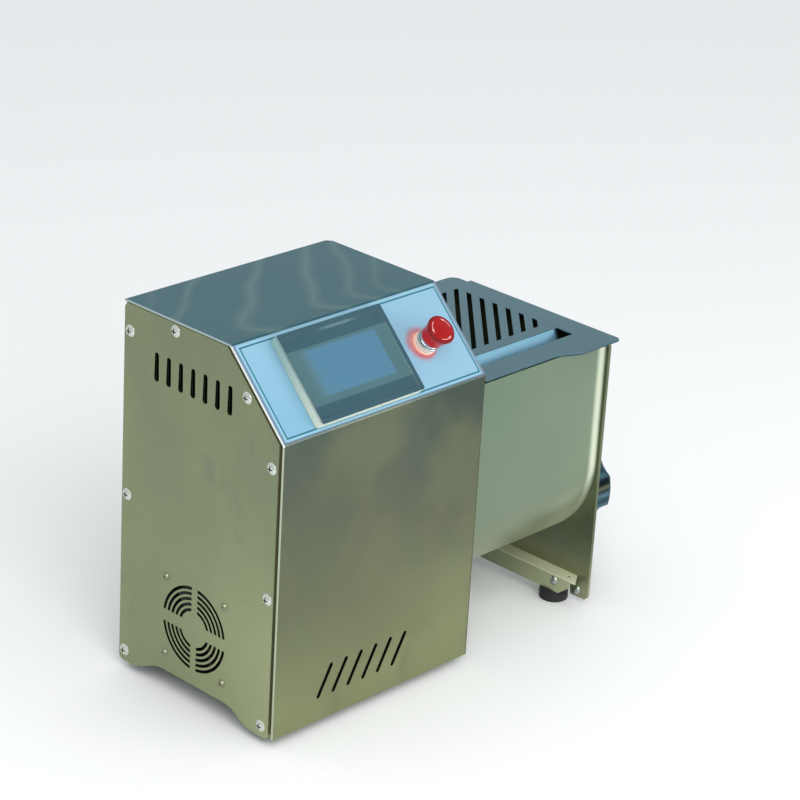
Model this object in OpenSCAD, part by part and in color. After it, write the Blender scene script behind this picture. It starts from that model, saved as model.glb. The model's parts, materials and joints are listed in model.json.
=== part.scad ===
// Countertop electric pasta maker: a sheet-metal drive housing with a sloping control
// panel, a U-shaped mixing hopper beside it, and a screw extruder in the end plate.
// Millimetres. +X runs along the machine to the extruder, +Y to the back, +Z up.
// The origin is on the ground, under the middle of the machine.

/* [Housing] */
// Width of the drive housing, along the machine
house_w = 233; // [225:1:260]
// Depth of the housing and of the end plate, front to back
house_d = 192; // [190:1:210]
// Height of the housing above the lower edge of its front sheet
house_h = 330; // [318:1:360]
// How far the sloping control panel runs back and down
bevel_run = 65; // [62:1:70]
// Thickness of the two side panels
side_t = 2; // [1.5:0.1:2.5]
// Thickness of the folded cover, rear panel and base sheet
sheet_t = 1.5; // [1:0.1:2]
// Outside radius of the folds in the cover
fold_r = 3; // [2:0.5:5]
// How far the cover's stepped flanges reach in behind the side panels
flange_w = 20; // [19:0.5:21]
// Distance of a side panel's front edge behind the front sheet's face
seam_front = 5.2; // [4:0.1:6]
// Distance of a side panel's sloping edge under the slope's face
seam_slope = 4.2; // [3:0.1:5]
// Distance of a side panel's top edge under the top sheet's face
seam_top = 2.2; // [2:0.1:3]
// Depth of the groove round a side panel, from its outer face to the step's bottom
seam_depth = 6; // [5:0.5:8]

/* [Side panel outline] */
// How far the panel's feet hang below the front sheet
toe_drop = 1.8; // [1:0.2:4]
// Length of the front toe along the floor
toe_len = 26; // [20:1:32]
// Length of the curve from the front toe up to the arch
arch_run = 32; // [26:1:38]
// Length of the back toe along the floor
back_toe_len = 16; // [12:1:24]
// Length of the curve from the back toe up to the arch
back_arch_run = 39; // [30:1:42]
// Length of the end plate's toes
end_toe_len = 19.5; // [16:0.5:19.5]
// Height of the arch above the front sheet's lower edge
arch_rise = 10.5; // [8:0.5:12]
// Radius of the panel's corners
corner_r = 5; // [3:0.5:8]

/* [Vents] */
// Number of upright slots near the top of the left panel
side_slots = 7; // [5:1:7]
// Spacing of the upright slots
side_slot_pitch = 14.7; // [12:0.1:15.5]
// Distance of the first upright slot behind the front sheet
side_slot_y = 63.4; // [58:0.2:66]
// Width of an upright slot
side_slot_w = 4.8; // [3:0.1:6]
// Height of an upright slot
side_slot_h = 25.5; // [20:0.5:28]
// Height of the upright slots' lower ends
side_slot_z = 270; // [262:1:272]
// Number of slanted slots in the front
front_slots = 6; // [4:1:8]
// Spacing of the slanted slots
front_slot_pitch = 17.5; // [14:0.1:20]
// Distance of the first slanted slot from the left face
front_slot_x = 50.7; // [30:0.1:60]
// Height of the slanted slots' lower ends
front_slot_z = 21.4; // [16:0.2:30]
// Width of a slanted slot
front_slot_w = 4; // [3:0.1:5]
// Height of a slanted slot
front_slot_h = 28.6; // [20:0.1:34]
// Sideways lean of a slanted slot over its height
front_slot_lean = 15.5; // [8:0.5:18]
// Number of slots in each row on the rear panel
rear_slots = 9; // [6:1:10]
// Spacing of the rear slots
rear_slot_pitch = 17; // [14:1:19]

/* [Fan] */
// Side of the square fan frame
fan_size = 80; // [78:1:84]
// Depth of the fan frame
fan_depth = 25; // [22:1:28]
// Spacing of the fan's screws
fan_pitch = 71.5; // [70:0.5:72]
// Height of the fan's axis above the front sheet's lower edge
fan_z = 63.1; // [62:0.5:68]
// Distance of the fan's axis behind the front sheet
fan_y = 98.4; // [94:0.5:102]
// Number of arc-slot rings in the grille
grille_rings = 5; // [4:1:5]
// Outer radius of the grille
grille_r = 38.4; // [36:0.2:39]
// Width of one arc slot
grille_slot = 2.8; // [2:0.1:3.2]
// Web between two arc slots
grille_web = 2.1; // [1.6:0.1:2.6]
// Number of fan blades
fan_blades = 7; // [5:1:9]

/* [Control panel] */
// Width of the touchscreen's raised frame
screen_w = 119; // [110:1:125]
// Height of the raised frame, along the slope
screen_h = 81.2; // [78:0.1:82]
// How far the frame stands up from the panel
screen_rise = 8.2; // [5:0.2:9]
// Distance from the housing's left face to the frame
screen_x = 37.5; // [30:0.5:44]
// Distance of the frame above the slope's lower edge
screen_low = 4.2; // [3:0.1:6]
// Width of the glass window
window_w = 97; // [90:1:99]
// Height of the glass window
window_h = 56; // [50:1:60]
// Depth of the touchscreen's case behind the panel
screen_case_depth = 26; // [20:1:30]
// Thickness of the printed overlay sheet
overlay_t = 0.5; // [0.3:0.1:0.8]
// Distance of the stop button's axis from the left face
stop_x = 186; // [180:0.5:190]
// Distance of the stop button's axis down the slope
stop_v = 49.7; // [40:0.1:54]
// Radius of the stop button's head
stop_r = 13; // [12.5:0.1:15]
// Height of the stop button's top above the panel
stop_rise = 29; // [28:0.5:32]
// How far the stop button travels when it is pressed
stop_travel = 4; // [3:0.5:5]

/* [Hopper] */
// Outside radius of the trough's round bottom
trough_r = 93.5; // [91:0.5:94]
// Thickness of the trough's sheet
trough_t = 2; // [1.5:0.1:2.5]
// Height of the trough's lowest point above the front sheet's lower edge
trough_base = 44; // [43:1:50]
// Height of the trough's rim
trough_top = 255; // [250:1:264]
// Length of the trough, from the housing to the end plate
trough_len = 162.5; // [155:0.5:175]
// Thickness of the end plate
end_t = 3; // [2.5:0.1:4]
// Thickness of the hopper's cover
lid_t = 1.6; // [1.2:0.1:2]
// Gap between the trough's rim and the cover
lid_gap = 1.2; // [1:0.1:2]
// How far the cover overhangs the end plate
lid_overhang = 3.5; // [2:0.5:6]
// How far the lifting tab stands out in front
tab_out = 8; // [5:0.5:12]
// Width of one slanted slot in the cover
lid_slot_w = 4.2; // [3:0.1:6]
// Spacing of the cover's slots
lid_slot_pitch = 16; // [14:0.5:20]
// Width of the pouring slot
pour_w = 18.5; // [16:0.5:20]
// Angle that the pouring slot's flap is bent down
flap_angle = 62; // [55:1:70]

/* [Mixing and extruding] */
// Outside radius of the auger's flight
auger_r = 27.5; // [25:0.5:28]
// Gap between the auger and the trough's bottom
auger_gap = 1; // [0.6:0.1:1.5]
// Radius of the auger's core
auger_core_r = 9; // [8:0.5:10]
// Number of turns in the auger's flight
auger_turns = 5; // [4:1:6]
// Gap between the paddles' sweep and the auger
sweep_gap = 3; // [2:0.5:5]
// Number of mixing paddles
paddles = 6; // [4:1:6]
// Radius of the mixer's shaft
mixer_shaft_r = 8; // [7:0.5:9]
// Module of the gear teeth
gear_module = 2; // [1.95:0.05:2.05]
// Teeth on the drive gear
drive_teeth = 30; // [29:1:31]
// Teeth on the mixer gear
mixer_teeth = 60; // [58:1:62]
// Play between the gear teeth
gear_play = 0.3; // [0.2:0.05:0.5]
// Radius of the barrel's outside, where the nut screws on
barrel_r = 38; // [36:0.5:40]
// How far the barrel reaches past the end plate
barrel_len = 50; // [44:1:54]
// Radius of the round body of the ring nut
nut_r = 50; // [47:0.5:52]
// Radius over the lobes of the ring nut
nut_lobe_r = 58; // [55:0.5:60]
// Number of lobes on the ring nut
nut_lobes = 6; // [5:1:7]
// Length of the ring nut
nut_len = 47; // [40:1:50]
// Thickness of the shaping die
die_t = 9; // [7:0.5:10]

/* [Drive] */
// Side of the square motor and gearbox flanges
motor_size = 90; // [86:1:94]
// Length of the motor
motor_len = 100; // [90:1:115]
// Length of the gearbox
gearbox_len = 40; // [36:1:50]
// Thickness of the bearing plate
plate_t = 6; // [5:0.5:8]
// Space for the gears between the bearing plate and the inner panel
gear_space = 25; // [24:0.5:27]
// Face width of the gears
gear_face = 11; // [9:0.5:12]
// Radius of the gearbox's output shaft
output_r = 8; // [7:0.5:9]
// Outside radius of the sleeve that drives the auger
sleeve_r = 14; // [13:0.5:15]
// Running clearance of a shaft in its bush, on the radius
running_gap = 0.05; // [0.02:0.01:0.08]

/* [Electronics] */
// Width of the controller board
board_w = 76; // [70:1:80]
// Height of the controller board
board_h = 92; // [84:1:100]
// Distance of the board in front of the rear panel
board_gap = 10; // [8:0.5:12]
// Width of the power supply
supply_w = 79; // [70:1:90]
// Depth of the power supply
supply_d = 30; // [26:1:34]
// Height of the power supply
supply_h = 82; // [74:1:90]
// Height of the board's and the supply's lower edges
board_z = 150; // [140:1:160]

/* [Feet] */
// Height of a rubber foot
foot_h = 11.7; // [10:0.1:14]
// Radius of a rubber foot
foot_r = 13.3; // [11:0.1:13.5]
// Distance of a foot's centre from the front and the back
foot_inset = 35.7; // [35:0.1:40]
// Width of the folded rails that carry the feet
rail_w = 15; // [14:0.5:18]
// Height of the rails
rail_h = 16.6; // [14:0.5:17]
// Height of the rails' lower edges above the front sheet's lower edge
rail_z = 2.4; // [1.5:0.1:3]
// Distance of the housing's feet from the left face
left_foot_x = 58; // [50:1:66]

/* [Fasteners] */
// Radius of a panel screw's domed head
dome_r = 4.6; // [4:0.1:5]
// Height of a panel screw's domed head
dome_h = 2.4; // [2:0.1:3]
// Radius of a panel screw's thread
screw_r = 2.5; // [2:0.1:2.5]
// Play of a screw in its hole, on the radius
screw_play = 0.25; // [0.1:0.05:0.4]

/* [Hidden] */
$fn = 48;

steel = [0.62, 0.65, 0.56];
dark_steel = [0.42, 0.47, 0.42];
bright_steel = [0.80, 0.82, 0.80];
bronze = [0.72, 0.52, 0.28];
black = [0.10, 0.11, 0.12];
zinc = [0.70, 0.72, 0.70];

t22 = tan(22.5);
mid_y = house_d / 2;
bevel_z = house_h - bevel_run;
bevel_len = bevel_run * sqrt(2);
inner_x = house_w - side_t;
rear_y = house_d - sheet_t;
end_x = house_w + trough_len;
end_face_x = end_x + end_t;
seam_tuck = 0.5;
step_in = seam_tuck + sheet_t;
web_end = seam_depth + sheet_t;
corner_cut = [4, 5];

// Panel screws as [y, z]: along the top, down the upright edges, and in the toes
top_screws = [[house_d - 7, house_h - 26], [house_d - 62, house_h - 9], [44, bevel_z + 26.5]];
edge_screws = [[13, bevel_z - 24], [12.5, bevel_z - 140], [house_d - 6.5, bevel_z - 109]];
toe_screws = [[14.5, 8], [house_d - 6.8, 8.5]];
left_screws = concat(top_screws, edge_screws, toe_screws);
right_screws = concat(top_screws, toe_screws);
end_screws = [[13.5, 4.5], [house_d - 13.5, 4.5]];
screw_len = 9;
hole_r = screw_r + screw_play;
fan_screw_r = 2;

// Feet and rails
foot_z = rail_z - foot_h;
foot_bolt_r = 2.5;
foot_nut_r = 4.4;
rail_top = rail_z + rail_h;
base_top = rail_top + sheet_t;
rail_front = 3;
rail_nose = 22;
rail_nose_cut = 10.5;
rail_hole_y = 17.8;
rail_bolt_y = 28.8;
rail_bolt_z = rail_z + 10.7;
base_screw_y = 58;
end_rail_x = end_x - rail_w / 2;
end_foot_x = end_x - 5;
foot_ys = [foot_inset, house_d - foot_inset];
foot_places = [for (x = [left_foot_x, end_foot_x], y = foot_ys) [x, y]];
rail_bolt_ys = [rail_bolt_y, house_d - rail_bolt_y];
base_screw_ys = [base_screw_y, house_d - base_screw_y];

// Rear panel
rear_slot_x = 40;
rear_slot_len = 32;
rear_slot_w = 4;
rear_slot_rows = [90, house_h - 55];
inlet_x = 52;
inlet_z = 60;
switch_x = 100;
rear_flange_w = 14;
board_t = 1.6;
standoff_in = 4;
supply_gap = 4;
rocker_angle = 10;

// Control panel: faces that meet on the slope are kept apart by tilt_lift
tilt_lift = 0.02;
overlay_side = 3;
overlay_end = 2;
panel_top = overlay_t + tilt_lift;
screen_rim = 4;
glass_edge = 5;
glass_t = 1.4;
window_low = (screen_h - window_h) / 2 + 3;
stop_hole_r = 8.2;
neck_r = 5.5;
pin_r = 3.5;
collar_r = 10.4;
collar_h = 8;
collar_low = panel_top + tilt_lift;
head_low = collar_low + collar_h + stop_travel + 0.5;
head_rim = 1.2;
head_taper = 2.6;
neck_low = -12;
neck_top = stop_rise - 8;

// Hopper, auger and mixer
trough_z = trough_base + trough_r;
trough_in = trough_r - trough_t;
auger_z = trough_base + trough_t + auger_gap + auger_r;
gear_centres = gear_module * (drive_teeth + mixer_teeth) / 2;
mixer_z = auger_z + gear_centres;
paddle_r = gear_centres - auger_r - sweep_gap;
mixer_end_t = 7;
seal_len = 5;
hub_x = house_w + trough_t + seal_len + 1;
hub_len = end_x - mixer_end_t - 1 - hub_x;

// Cover and hinges
lid_z = trough_top + lid_gap;
lid_x0 = house_w + dome_h + 0.6;
lid_x1 = end_face_x + lid_overhang;
lid_front = 2;
lid_back = mid_y + trough_r + 2;
tab_x = house_w + 119;
tab_blend = 30;
slot_x0 = house_w + 16;
slot_x1 = end_x - 19;
slot_y0 = 58;
slot_y1 = 167;
pour_y = 27;
buffer_len = 10;
buffer_play = 0.1;
hinge_r = 4;
hinge_pin_r = 1.5;
hinge_y = mid_y + trough_r + 7;
hinge_z = lid_z - 4.2;
hinge_len = 36;
knuckle_len = 12;
knuckle_play = 0.4;
leaf_t = 1.5;
hinge_places = [house_w + 28, end_x - 28 - hinge_len];

// Drive
plate_x = inner_x - gear_space - plate_t;
gearbox_x = plate_x - gearbox_len;
motor_x = gearbox_x - motor_len;
gear_x = inner_x - gear_space + 4;
board_x = plate_x - board_w - 2;
supply_x = board_x - supply_w - supply_gap;
hub_rise = 3;
gearbox_pitch = 70;
plate_half = 80;
plate_over = 70;
lighten_r = 11;
lighten_at = 37;
gearbox_bolt_r = 3;
bearing_t = 9;
bush_t = 4;
spacer_r = 6;
spacer_in = 12;
spacer_ys = [mid_y - plate_half + spacer_in, mid_y + plate_half - spacer_in];
spacer_places = [for (y = spacer_ys, z = [base_top + 18, mixer_z + plate_over - 10]) [y, z]];
socket_x = house_w + 1;
sleeve_end = house_w + 14;
hex_r = 9;
hex_play = 0.15;

// Extruder
barrel_end_x = end_face_x + barrel_len;
barrel_pilot_r = auger_r + auger_gap + 1.5;
flight_x0 = sleeve_end + 3;
flight_x1 = barrel_end_x - 4;
flange_t = 5;
flange_r = 54;
barrel_screw_pcd = 94;
barrel_screw_r = 2.5;
barrel_screws_n = 6;
barrel_skin = 0.6;
barrel_step = 2;
nut_lip = 8;
nut_lip_r = barrel_r - 8;
nut_lobe_w = 20;
nut_round = 4;
nut_end_x = barrel_end_x + die_t + nut_lip + 0.3;
nut_x0 = nut_end_x - nut_len;

// The frame's origin: the middle of the whole machine, at the feet's lower faces
back_y = hinge_y + hinge_r;
shift_x = -(nut_end_x - dome_h) / 2;
shift_y = -(back_y - tab_out) / 2;
shift_z = -foot_z;

module at_frame() translate([shift_x, shift_y, shift_z]) children();

// Turns a flat outline drawn in Y and Z into a slab that starts at x
module slab(x, thickness) {
    translate([x, 0, 0]) rotate([90, 0, 90]) linear_extrude(thickness) children();
}

// A cylinder along X that starts at x
module rod(x, y, z, r, length) {
    translate([x, y, z]) rotate([0, 90, 0]) cylinder(h = length, r = r);
}

// A disc with a rounded rim, turned to lie along X
module ring_x(x, y, z, outer, inner, length) {
    difference() {
        rod(x, y, z, outer, length);
        rod(x - 1, y, z, inner, length + 2);
    }
}

// Places children on the sloping panel: X along it, Y up it from its lower edge, Z out of it
module on_bevel() {
    translate([0, 0, bevel_z]) rotate([45, 0, 0]) children();
}

function arc(c, r, a, b, n = 6) =
    [for (i = [0:n]) c + r * [cos(a + (b - a) * i / n), sin(a + (b - a) * i / n)]];
function ease(t) = (1 - cos(180 * t)) / 2;
function s_curve(a, b, n = 10) =
    [for (i = [0:n]) [a[0] + (b[0] - a[0]) * i / n, a[1] + (b[1] - a[1]) * ease(i / n)]];
function reversed(list) = [for (i = [len(list) - 1:-1:0]) list[i]];

// A panel's lower edge: two toes that end at the given places, and curves up to the arch
function toe_edge(start, front, front_run, back, back_run) = concat(
    arc([start + corner_r, corner_r - toe_drop], corner_r, 180, 270),
    s_curve([front, -toe_drop], [front + front_run, arch_rise]),
    s_curve([house_d - back - back_run, arch_rise], [house_d - back, -toe_drop]),
    arc([house_d - corner_r, corner_r - toe_drop], corner_r, 270, 360));

function lower_bend(inset, r) = inset < r
    ? arc([r, bevel_z - r * t22], r - inset, 180, 135)
    : [[inset, bevel_z - inset * t22]];
function upper_bend(inset, r) = inset < r
    ? arc([bevel_run + r * t22, house_h - r], r - inset, 135, 90)
    : [[bevel_run + inset * t22, house_h - inset]];

// The cover's path up the front, over the slope and back along the top, moved inwards by inset
function cover_path(inset, far_y) = concat(
    [[inset, 0]], lower_bend(inset, fold_r), upper_bend(inset, fold_r), [[far_y, house_h - inset]]);

// A path like the cover's, with its own distances from the front, the slope and the top
function edge_path(front, slope, top, far_y) = [[front, 0],
    [front, bevel_z + front - slope * sqrt(2)],
    [bevel_run - top + slope * sqrt(2), house_h - top], [far_y, house_h - top]];
function seam_path(grow, far_y) =
    edge_path(seam_front + grow, seam_slope + grow, seam_top + grow, far_y);

module between(outer, inner) polygon(concat(outer, reversed(inner)));

module side_outline() {
    edge = seam_path(0, house_d);
    polygon(concat(toe_edge(seam_front, toe_len, arch_run, back_toe_len, back_arch_run),
        arc([house_d - corner_r, house_h - seam_top - corner_r], corner_r, 0, 90),
        [edge[2], edge[1]]));
}

module grille_ring(r_out) {
    difference() {
        circle(r_out);
        circle(r_out - grille_slot);
    }
}

module grille() {
    spoke_flat = 11;
    spoke_upright = 7;
    difference() {
        for (i = [0:grille_rings - 1]) grille_ring(grille_r - i * (grille_slot + grille_web));
        square([2 * grille_r + 2, spoke_flat], center = true);
        square([spoke_upright, 2 * grille_r + 2], center = true);
    }
}

module corner_points(pitch) {
    for (sy = [-1, 1], sz = [-1, 1]) translate([sy * pitch / 2, sz * pitch / 2]) children();
}

// A dome-headed screw along +X, its head's flat face at x
module dome_screw(x, y, z, length, flip = 1) {
    cap_r = (dome_r * dome_r + dome_h * dome_h) / (2 * dome_h);
    translate([x, y, z]) rotate([0, 90 * flip, 0]) {
        difference() {
            union() {
                rotate_extrude() intersection() {
                    translate([0, cap_r - dome_h]) circle(cap_r);
                    translate([0, -dome_h]) square([dome_r + 1, dome_h]);
                }
                cylinder(r = screw_r, h = length);
            }
            for (a = [0, 90]) rotate(a) translate([-2.2, -0.45, -dome_h - 0.1]) cube([4.4, 0.9, 1.3]);
        }
    }
}

module left_side_panel() color(steel) at_frame() slab(0, side_t) difference() {
    side_outline();
    for (p = left_screws) translate(p) circle(hole_r);
    for (i = [0:side_slots - 1])
        translate([side_slot_y + i * side_slot_pitch, side_slot_z])
            slot_cut(side_slot_w, side_slot_h);
    translate([fan_y, fan_z]) grille();
    translate([fan_y, fan_z]) corner_points(fan_pitch) circle(fan_screw_r + screw_play);
}

// An upright slot with round ends, made of exact circles and a bar
module slot_cut(w, h) {
    translate([-w / 2, w / 2]) square([w, h - w]);
    translate([0, w / 2]) circle(d = w);
    translate([0, h - w / 2]) circle(d = w);
}

module inner_side_panel() color(steel) at_frame() slab(inner_x, side_t) difference() {
    side_outline();
    for (p = right_screws) translate(p) circle(hole_r);
    translate([mid_y, auger_z]) circle(sleeve_r + 1);
    translate([mid_y, mixer_z]) circle(mixer_shaft_r + 1);
}

// Screws that hold a side panel stop in the flanges behind it
module flange_holes(points, x) {
    for (p = points) rod(x - 3, p[0], p[1], screw_r, sheet_t + 6);
}

// A flange that steps in from the cover's edge and back out behind the side panel
module stepped_flange() {
    slab(seam_depth, sheet_t) between(cover_path(sheet_t / 2, rear_y), seam_path(step_in, rear_y));
    slab(side_t, web_end - side_t)
        between(seam_path(seam_tuck, rear_y), seam_path(step_in, rear_y));
    slab(side_t, sheet_t)
        between(seam_path(seam_tuck, rear_y), edge_path(flange_w, flange_w, flange_w, rear_y));
}

module main_cover() color(steel) at_frame() difference() {
    union() {
        slab(0, house_w) between(cover_path(0, house_d), cover_path(sheet_t, house_d));
        stepped_flange();
        translate([house_w, 0, 0]) mirror([1, 0, 0]) stepped_flange();
        translate([seam_depth, sheet_t / 2, 0]) cube([house_w - 2 * seam_depth, 11, sheet_t]);
    }
    translate([house_w, house_d, house_h - 2 * sheet_t]) linear_extrude(3 * sheet_t)
        polygon([[-corner_cut[0], 1], [-corner_cut[0], 0], [0, -corner_cut[1]], [1, -corner_cut[1]],
            [1, 1]]);
    flange_holes(left_screws, side_t);
    flange_holes(right_screws, inner_x - sheet_t);
    for (i = [0:front_slots - 1])
        translate([front_slot_x + i * front_slot_pitch, -1, front_slot_z]) front_slot();
    on_bevel() translate([0, 0, -5]) linear_extrude(10) panel_holes();
}

// The openings for the touchscreen and the stop button, in the slope's own plane
module panel_holes() {
    translate([screen_x + screen_rim, screen_low + screen_rim])
        square([screen_w - 2 * screen_rim, screen_h - 2 * screen_rim]);
    translate([stop_x, bevel_len - stop_v]) circle(stop_hole_r);
}

// A slanted slot through the front sheet
module front_slot() {
    tilt = atan(front_slot_lean / front_slot_h);
    run = sqrt(pow(front_slot_lean, 2) + pow(front_slot_h, 2));
    rotate([90, 0, 0]) translate([0, 0, -5]) rotate(-tilt) linear_extrude(6)
        slot_cut(front_slot_w, run);
}

module rear_panel() color(steel) at_frame() difference() {
    union() {
        translate([side_t, rear_y, 0]) cube([inner_x - side_t, sheet_t, house_h - sheet_t]);
        for (x = [side_t, inner_x - sheet_t]) translate([x, rear_y - rear_flange_w, 0])
            cube([sheet_t, rear_flange_w + sheet_t / 2, house_h - flange_w]);
    }
    flange_holes([top_screws[0], edge_screws[2], toe_screws[1]], side_t);
    flange_holes([top_screws[0], toe_screws[1]], inner_x - sheet_t);
    translate([inlet_x - 14, rear_y - 1, inlet_z - 10]) cube([28, sheet_t + 2, 20]);
    translate([switch_x - 9.5, rear_y - 1, inlet_z - 6.5]) cube([19, sheet_t + 2, 13]);
    for (i = [0:rear_slots - 1], z = rear_slot_rows)
        translate([rear_slot_x + i * rear_slot_pitch, house_d + 1, z]) rotate([90, 0, 0])
            linear_extrude(sheet_t + 2) slot_cut(rear_slot_w, rear_slot_len);
}

module base_plate() color(steel) at_frame() difference() {
    translate([side_t + sheet_t, sheet_t, rail_top])
        cube([house_w - 2 * side_t - 2 * sheet_t, house_d - 2 * sheet_t, sheet_t]);
    for (y = base_screw_ys)
        translate([left_foot_x, y, rail_top - 1]) cylinder(r = screw_r, h = sheet_t + 2);
    // Notches round the cover's stepped flanges
    for (x = [0, house_w - web_end])
        translate([x, 0, rail_top - 1]) cube([web_end, seam_front + step_in, sheet_t + 2]);
}

// A folded rail with its open side towards +X, from the front to the back
module rail(x, foot_x) {
    difference() {
        translate([x - rail_w / 2, rail_front, rail_z])
            cube([rail_w, house_d - 2 * rail_front, rail_h]);
        translate([x - rail_w / 2 + sheet_t, rail_front - 1, rail_z + sheet_t])
            cube([rail_w, house_d, rail_h - 2 * sheet_t]);
        for (end = [0, 1]) translate([x - rail_w / 2 - 1, end * house_d, 0])
            mirror([0, end, 0]) rotate([90, 0, 90]) linear_extrude(rail_w + 2)
                polygon([[-1, rail_z - 1], [rail_nose + 2, rail_z - 1], [rail_front + 7, rail_top - 7],
                    [rail_front + 7, rail_top - sheet_t], [-1, rail_top - sheet_t]]);
        // Oblique noses on the upper flange
        for (end = [0, 1]) translate([x - rail_w / 2, end * house_d, rail_top - sheet_t - 1])
            mirror([0, end, 0]) translate([0, rail_front, 0]) linear_extrude(sheet_t + 2)
                polygon([[0, 0], [rail_w, rail_nose_cut], [rail_w + 1, rail_nose_cut],
                    [rail_w + 1, -1], [0, -1]]);
        for (y = foot_ys) translate([foot_x, y, rail_z - 1])
            cylinder(r = foot_bolt_r + screw_play, h = sheet_t + 2);
        for (y = [rail_hole_y, house_d - rail_hole_y])
            translate([x, y, rail_top - sheet_t - 1]) cylinder(r = 2, h = sheet_t + 2);
    }
}

module left_foot_rail() color(steel) at_frame() difference() {
    rail(left_foot_x, left_foot_x);
    for (y = base_screw_ys) translate([left_foot_x, y, rail_top - sheet_t - 1])
        cylinder(r = screw_r, h = sheet_t + 2);
}

module end_foot_rail() color(steel) at_frame() difference() {
    rail(end_rail_x, end_foot_x);
    for (y = rail_bolt_ys) rod(end_x - rail_w - 1, y, rail_bolt_z, hole_r, sheet_t + 2);
}

module rubber_feet() color(black) at_frame() for (p = foot_places) translate([p[0], p[1], foot_z])
    rotate_extrude() polygon([[foot_bolt_r + 0.2, 3], [foot_bolt_r + 4, 3], [foot_bolt_r + 4, 0],
        [foot_r - 1, 0], [foot_r, 1], [foot_r, foot_h - 4], [foot_r - 0.7, foot_h - 3.4],
        [foot_r - 0.7, foot_h - 2.4], [foot_r, foot_h - 1.8], [foot_r, foot_h - 0.6],
        [foot_r - 0.6, foot_h], [foot_bolt_r + 0.2, foot_h]]);

// A screw with a washer head inside each foot and a nut on the rail's lower flange
module foot_bolts() color(zinc) at_frame() for (p = foot_places) translate([p[0], p[1], foot_z]) {
    translate([0, 0, 0.6]) cylinder(r = foot_bolt_r + 3.2, h = 2.4);
    translate([0, 0, 2.5]) cylinder(r = foot_bolt_r, h = foot_h + 3.5);
    translate([0, 0, foot_h + sheet_t]) rotate(30) cylinder(r = foot_nut_r, h = 4, $fn = 6);
}

module left_panel_screws() color(zinc) at_frame()
    for (p = left_screws) dome_screw(0, p[0], p[1], screw_len);

module inner_panel_screws() color(zinc) at_frame()
    for (p = right_screws) dome_screw(house_w, p[0], p[1], screw_len, -1);

module end_plate_screws() color(zinc) at_frame()
    for (p = end_screws) dome_screw(end_x, p[0], p[1], end_t);

// The rails' own screws: two through the base sheet, two into the end plate
module rail_screws() color(zinc) at_frame() {
    for (y = base_screw_ys) translate([left_foot_x, y, base_top]) {
        cylinder(r = dome_r, h = dome_h);
        translate([0, 0, -8]) cylinder(r = screw_r, h = 9);
    }
    for (y = rail_bolt_ys) dome_screw(end_x - rail_w, y, rail_bolt_z, rail_w + end_t + 2);
}

module control_overlay() color([0.62, 0.80, 0.90]) at_frame() on_bevel()
    translate([0, 0, tilt_lift]) linear_extrude(overlay_t) difference() {
        translate([overlay_side, overlay_end])
            square([house_w - 2 * overlay_side, bevel_len - 2 * overlay_end]);
        panel_holes();
    }

module touchscreen_frame() color([0.55, 0.62, 0.60]) at_frame() on_bevel()
    translate([screen_x, screen_low, panel_top + tilt_lift]) difference() {
        rounded_block(screen_w, screen_h, screen_rise, 2.5);
        translate([(screen_w - window_w) / 2, window_low, -1])
            cube([window_w, window_h, screen_rise + 2]);
        translate([glass_edge, glass_edge, screen_rise - glass_t])
            cube([screen_w - 2 * glass_edge, screen_h - 2 * glass_edge, 3]);
    }

// A slab with rounded upright edges
module rounded_block(w, d, h, r) {
    linear_extrude(h) {
        translate([r, 0]) square([w - 2 * r, d]);
        translate([0, r]) square([w, d - 2 * r]);
        for (x = [r, w - r], y = [r, d - r]) translate([x, y]) circle(r);
    }
}

module touchscreen_glass() color([0.25, 0.33, 0.38]) at_frame() on_bevel()
    translate([screen_x + glass_edge, screen_low + glass_edge, panel_top + screen_rise - glass_t])
        translate([0.1, 0.1, 2 * tilt_lift])
            cube([screen_w - 2 * glass_edge - 0.2, screen_h - 2 * glass_edge - 0.2, glass_t - 0.3]);

module touchscreen_case() color(black) at_frame() on_bevel()
    translate([screen_x + screen_rim + 0.5, screen_low + screen_rim + 0.5,
        overlay_t - screen_case_depth]) difference() {
        cube([screen_w - 2 * screen_rim - 1, screen_h - 2 * screen_rim - 1, screen_case_depth]);
        for (i = [0:5]) translate([16 + i * 14, 12, -1]) cube([5, screen_h - 33, 3]);
    }

// The stop button sits on the slope; each piece below is drawn along the button's own axis
module at_stop() on_bevel() translate([stop_x, bevel_len - stop_v, 0]) children();

module stop_collar() color(bright_steel) at_frame() at_stop() translate([0, 0, collar_low])
    rotate_extrude() polygon([[neck_r + 0.5, 0], [collar_r + 2, 0], [collar_r + 2, 1.1],
        [collar_r + 1.6, 1.5], [collar_r, 1.8], [collar_r, collar_h - 1.5],
        [collar_r - 1, collar_h - 0.3], [collar_r - 1.6, collar_h], [neck_r + 0.5, collar_h]]);

module stop_plunger() color(black) at_frame() at_stop() {
    translate([0, 0, neck_low]) cylinder(r = neck_r, h = neck_top - neck_low);
    translate([0, 0, neck_top]) cylinder(r = pin_r, h = 4);
}

// A mushroom head that widens straight up to a thin rim round a low crown
module stop_head() color([0.85, 0.10, 0.10]) at_frame() at_stop() rotate_extrude() polygon(concat(
    [[neck_r + running_gap, head_low], [stop_r - head_taper - 0.6, head_low],
        [stop_r - head_taper, head_low + 0.7]],
    arc([stop_r - head_rim, stop_rise - head_rim - 0.9], head_rim, -12, 75, 5),
    [[stop_r - 4.5, stop_rise - 0.5], [0, stop_rise], [0, neck_top + 4],
        [pin_r + running_gap, neck_top + 4], [pin_r + running_gap, neck_top + running_gap],
        [neck_r + running_gap, neck_top + running_gap]]));

module stop_lock_nut() color(bright_steel) at_frame() at_stop()
    translate([0, 0, -sheet_t - 3 - tilt_lift]) difference() {
        cylinder(r = 12, h = 3, $fn = 6);
        translate([0, 0, -1]) cylinder(r = stop_hole_r, h = 5);
    }

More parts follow.
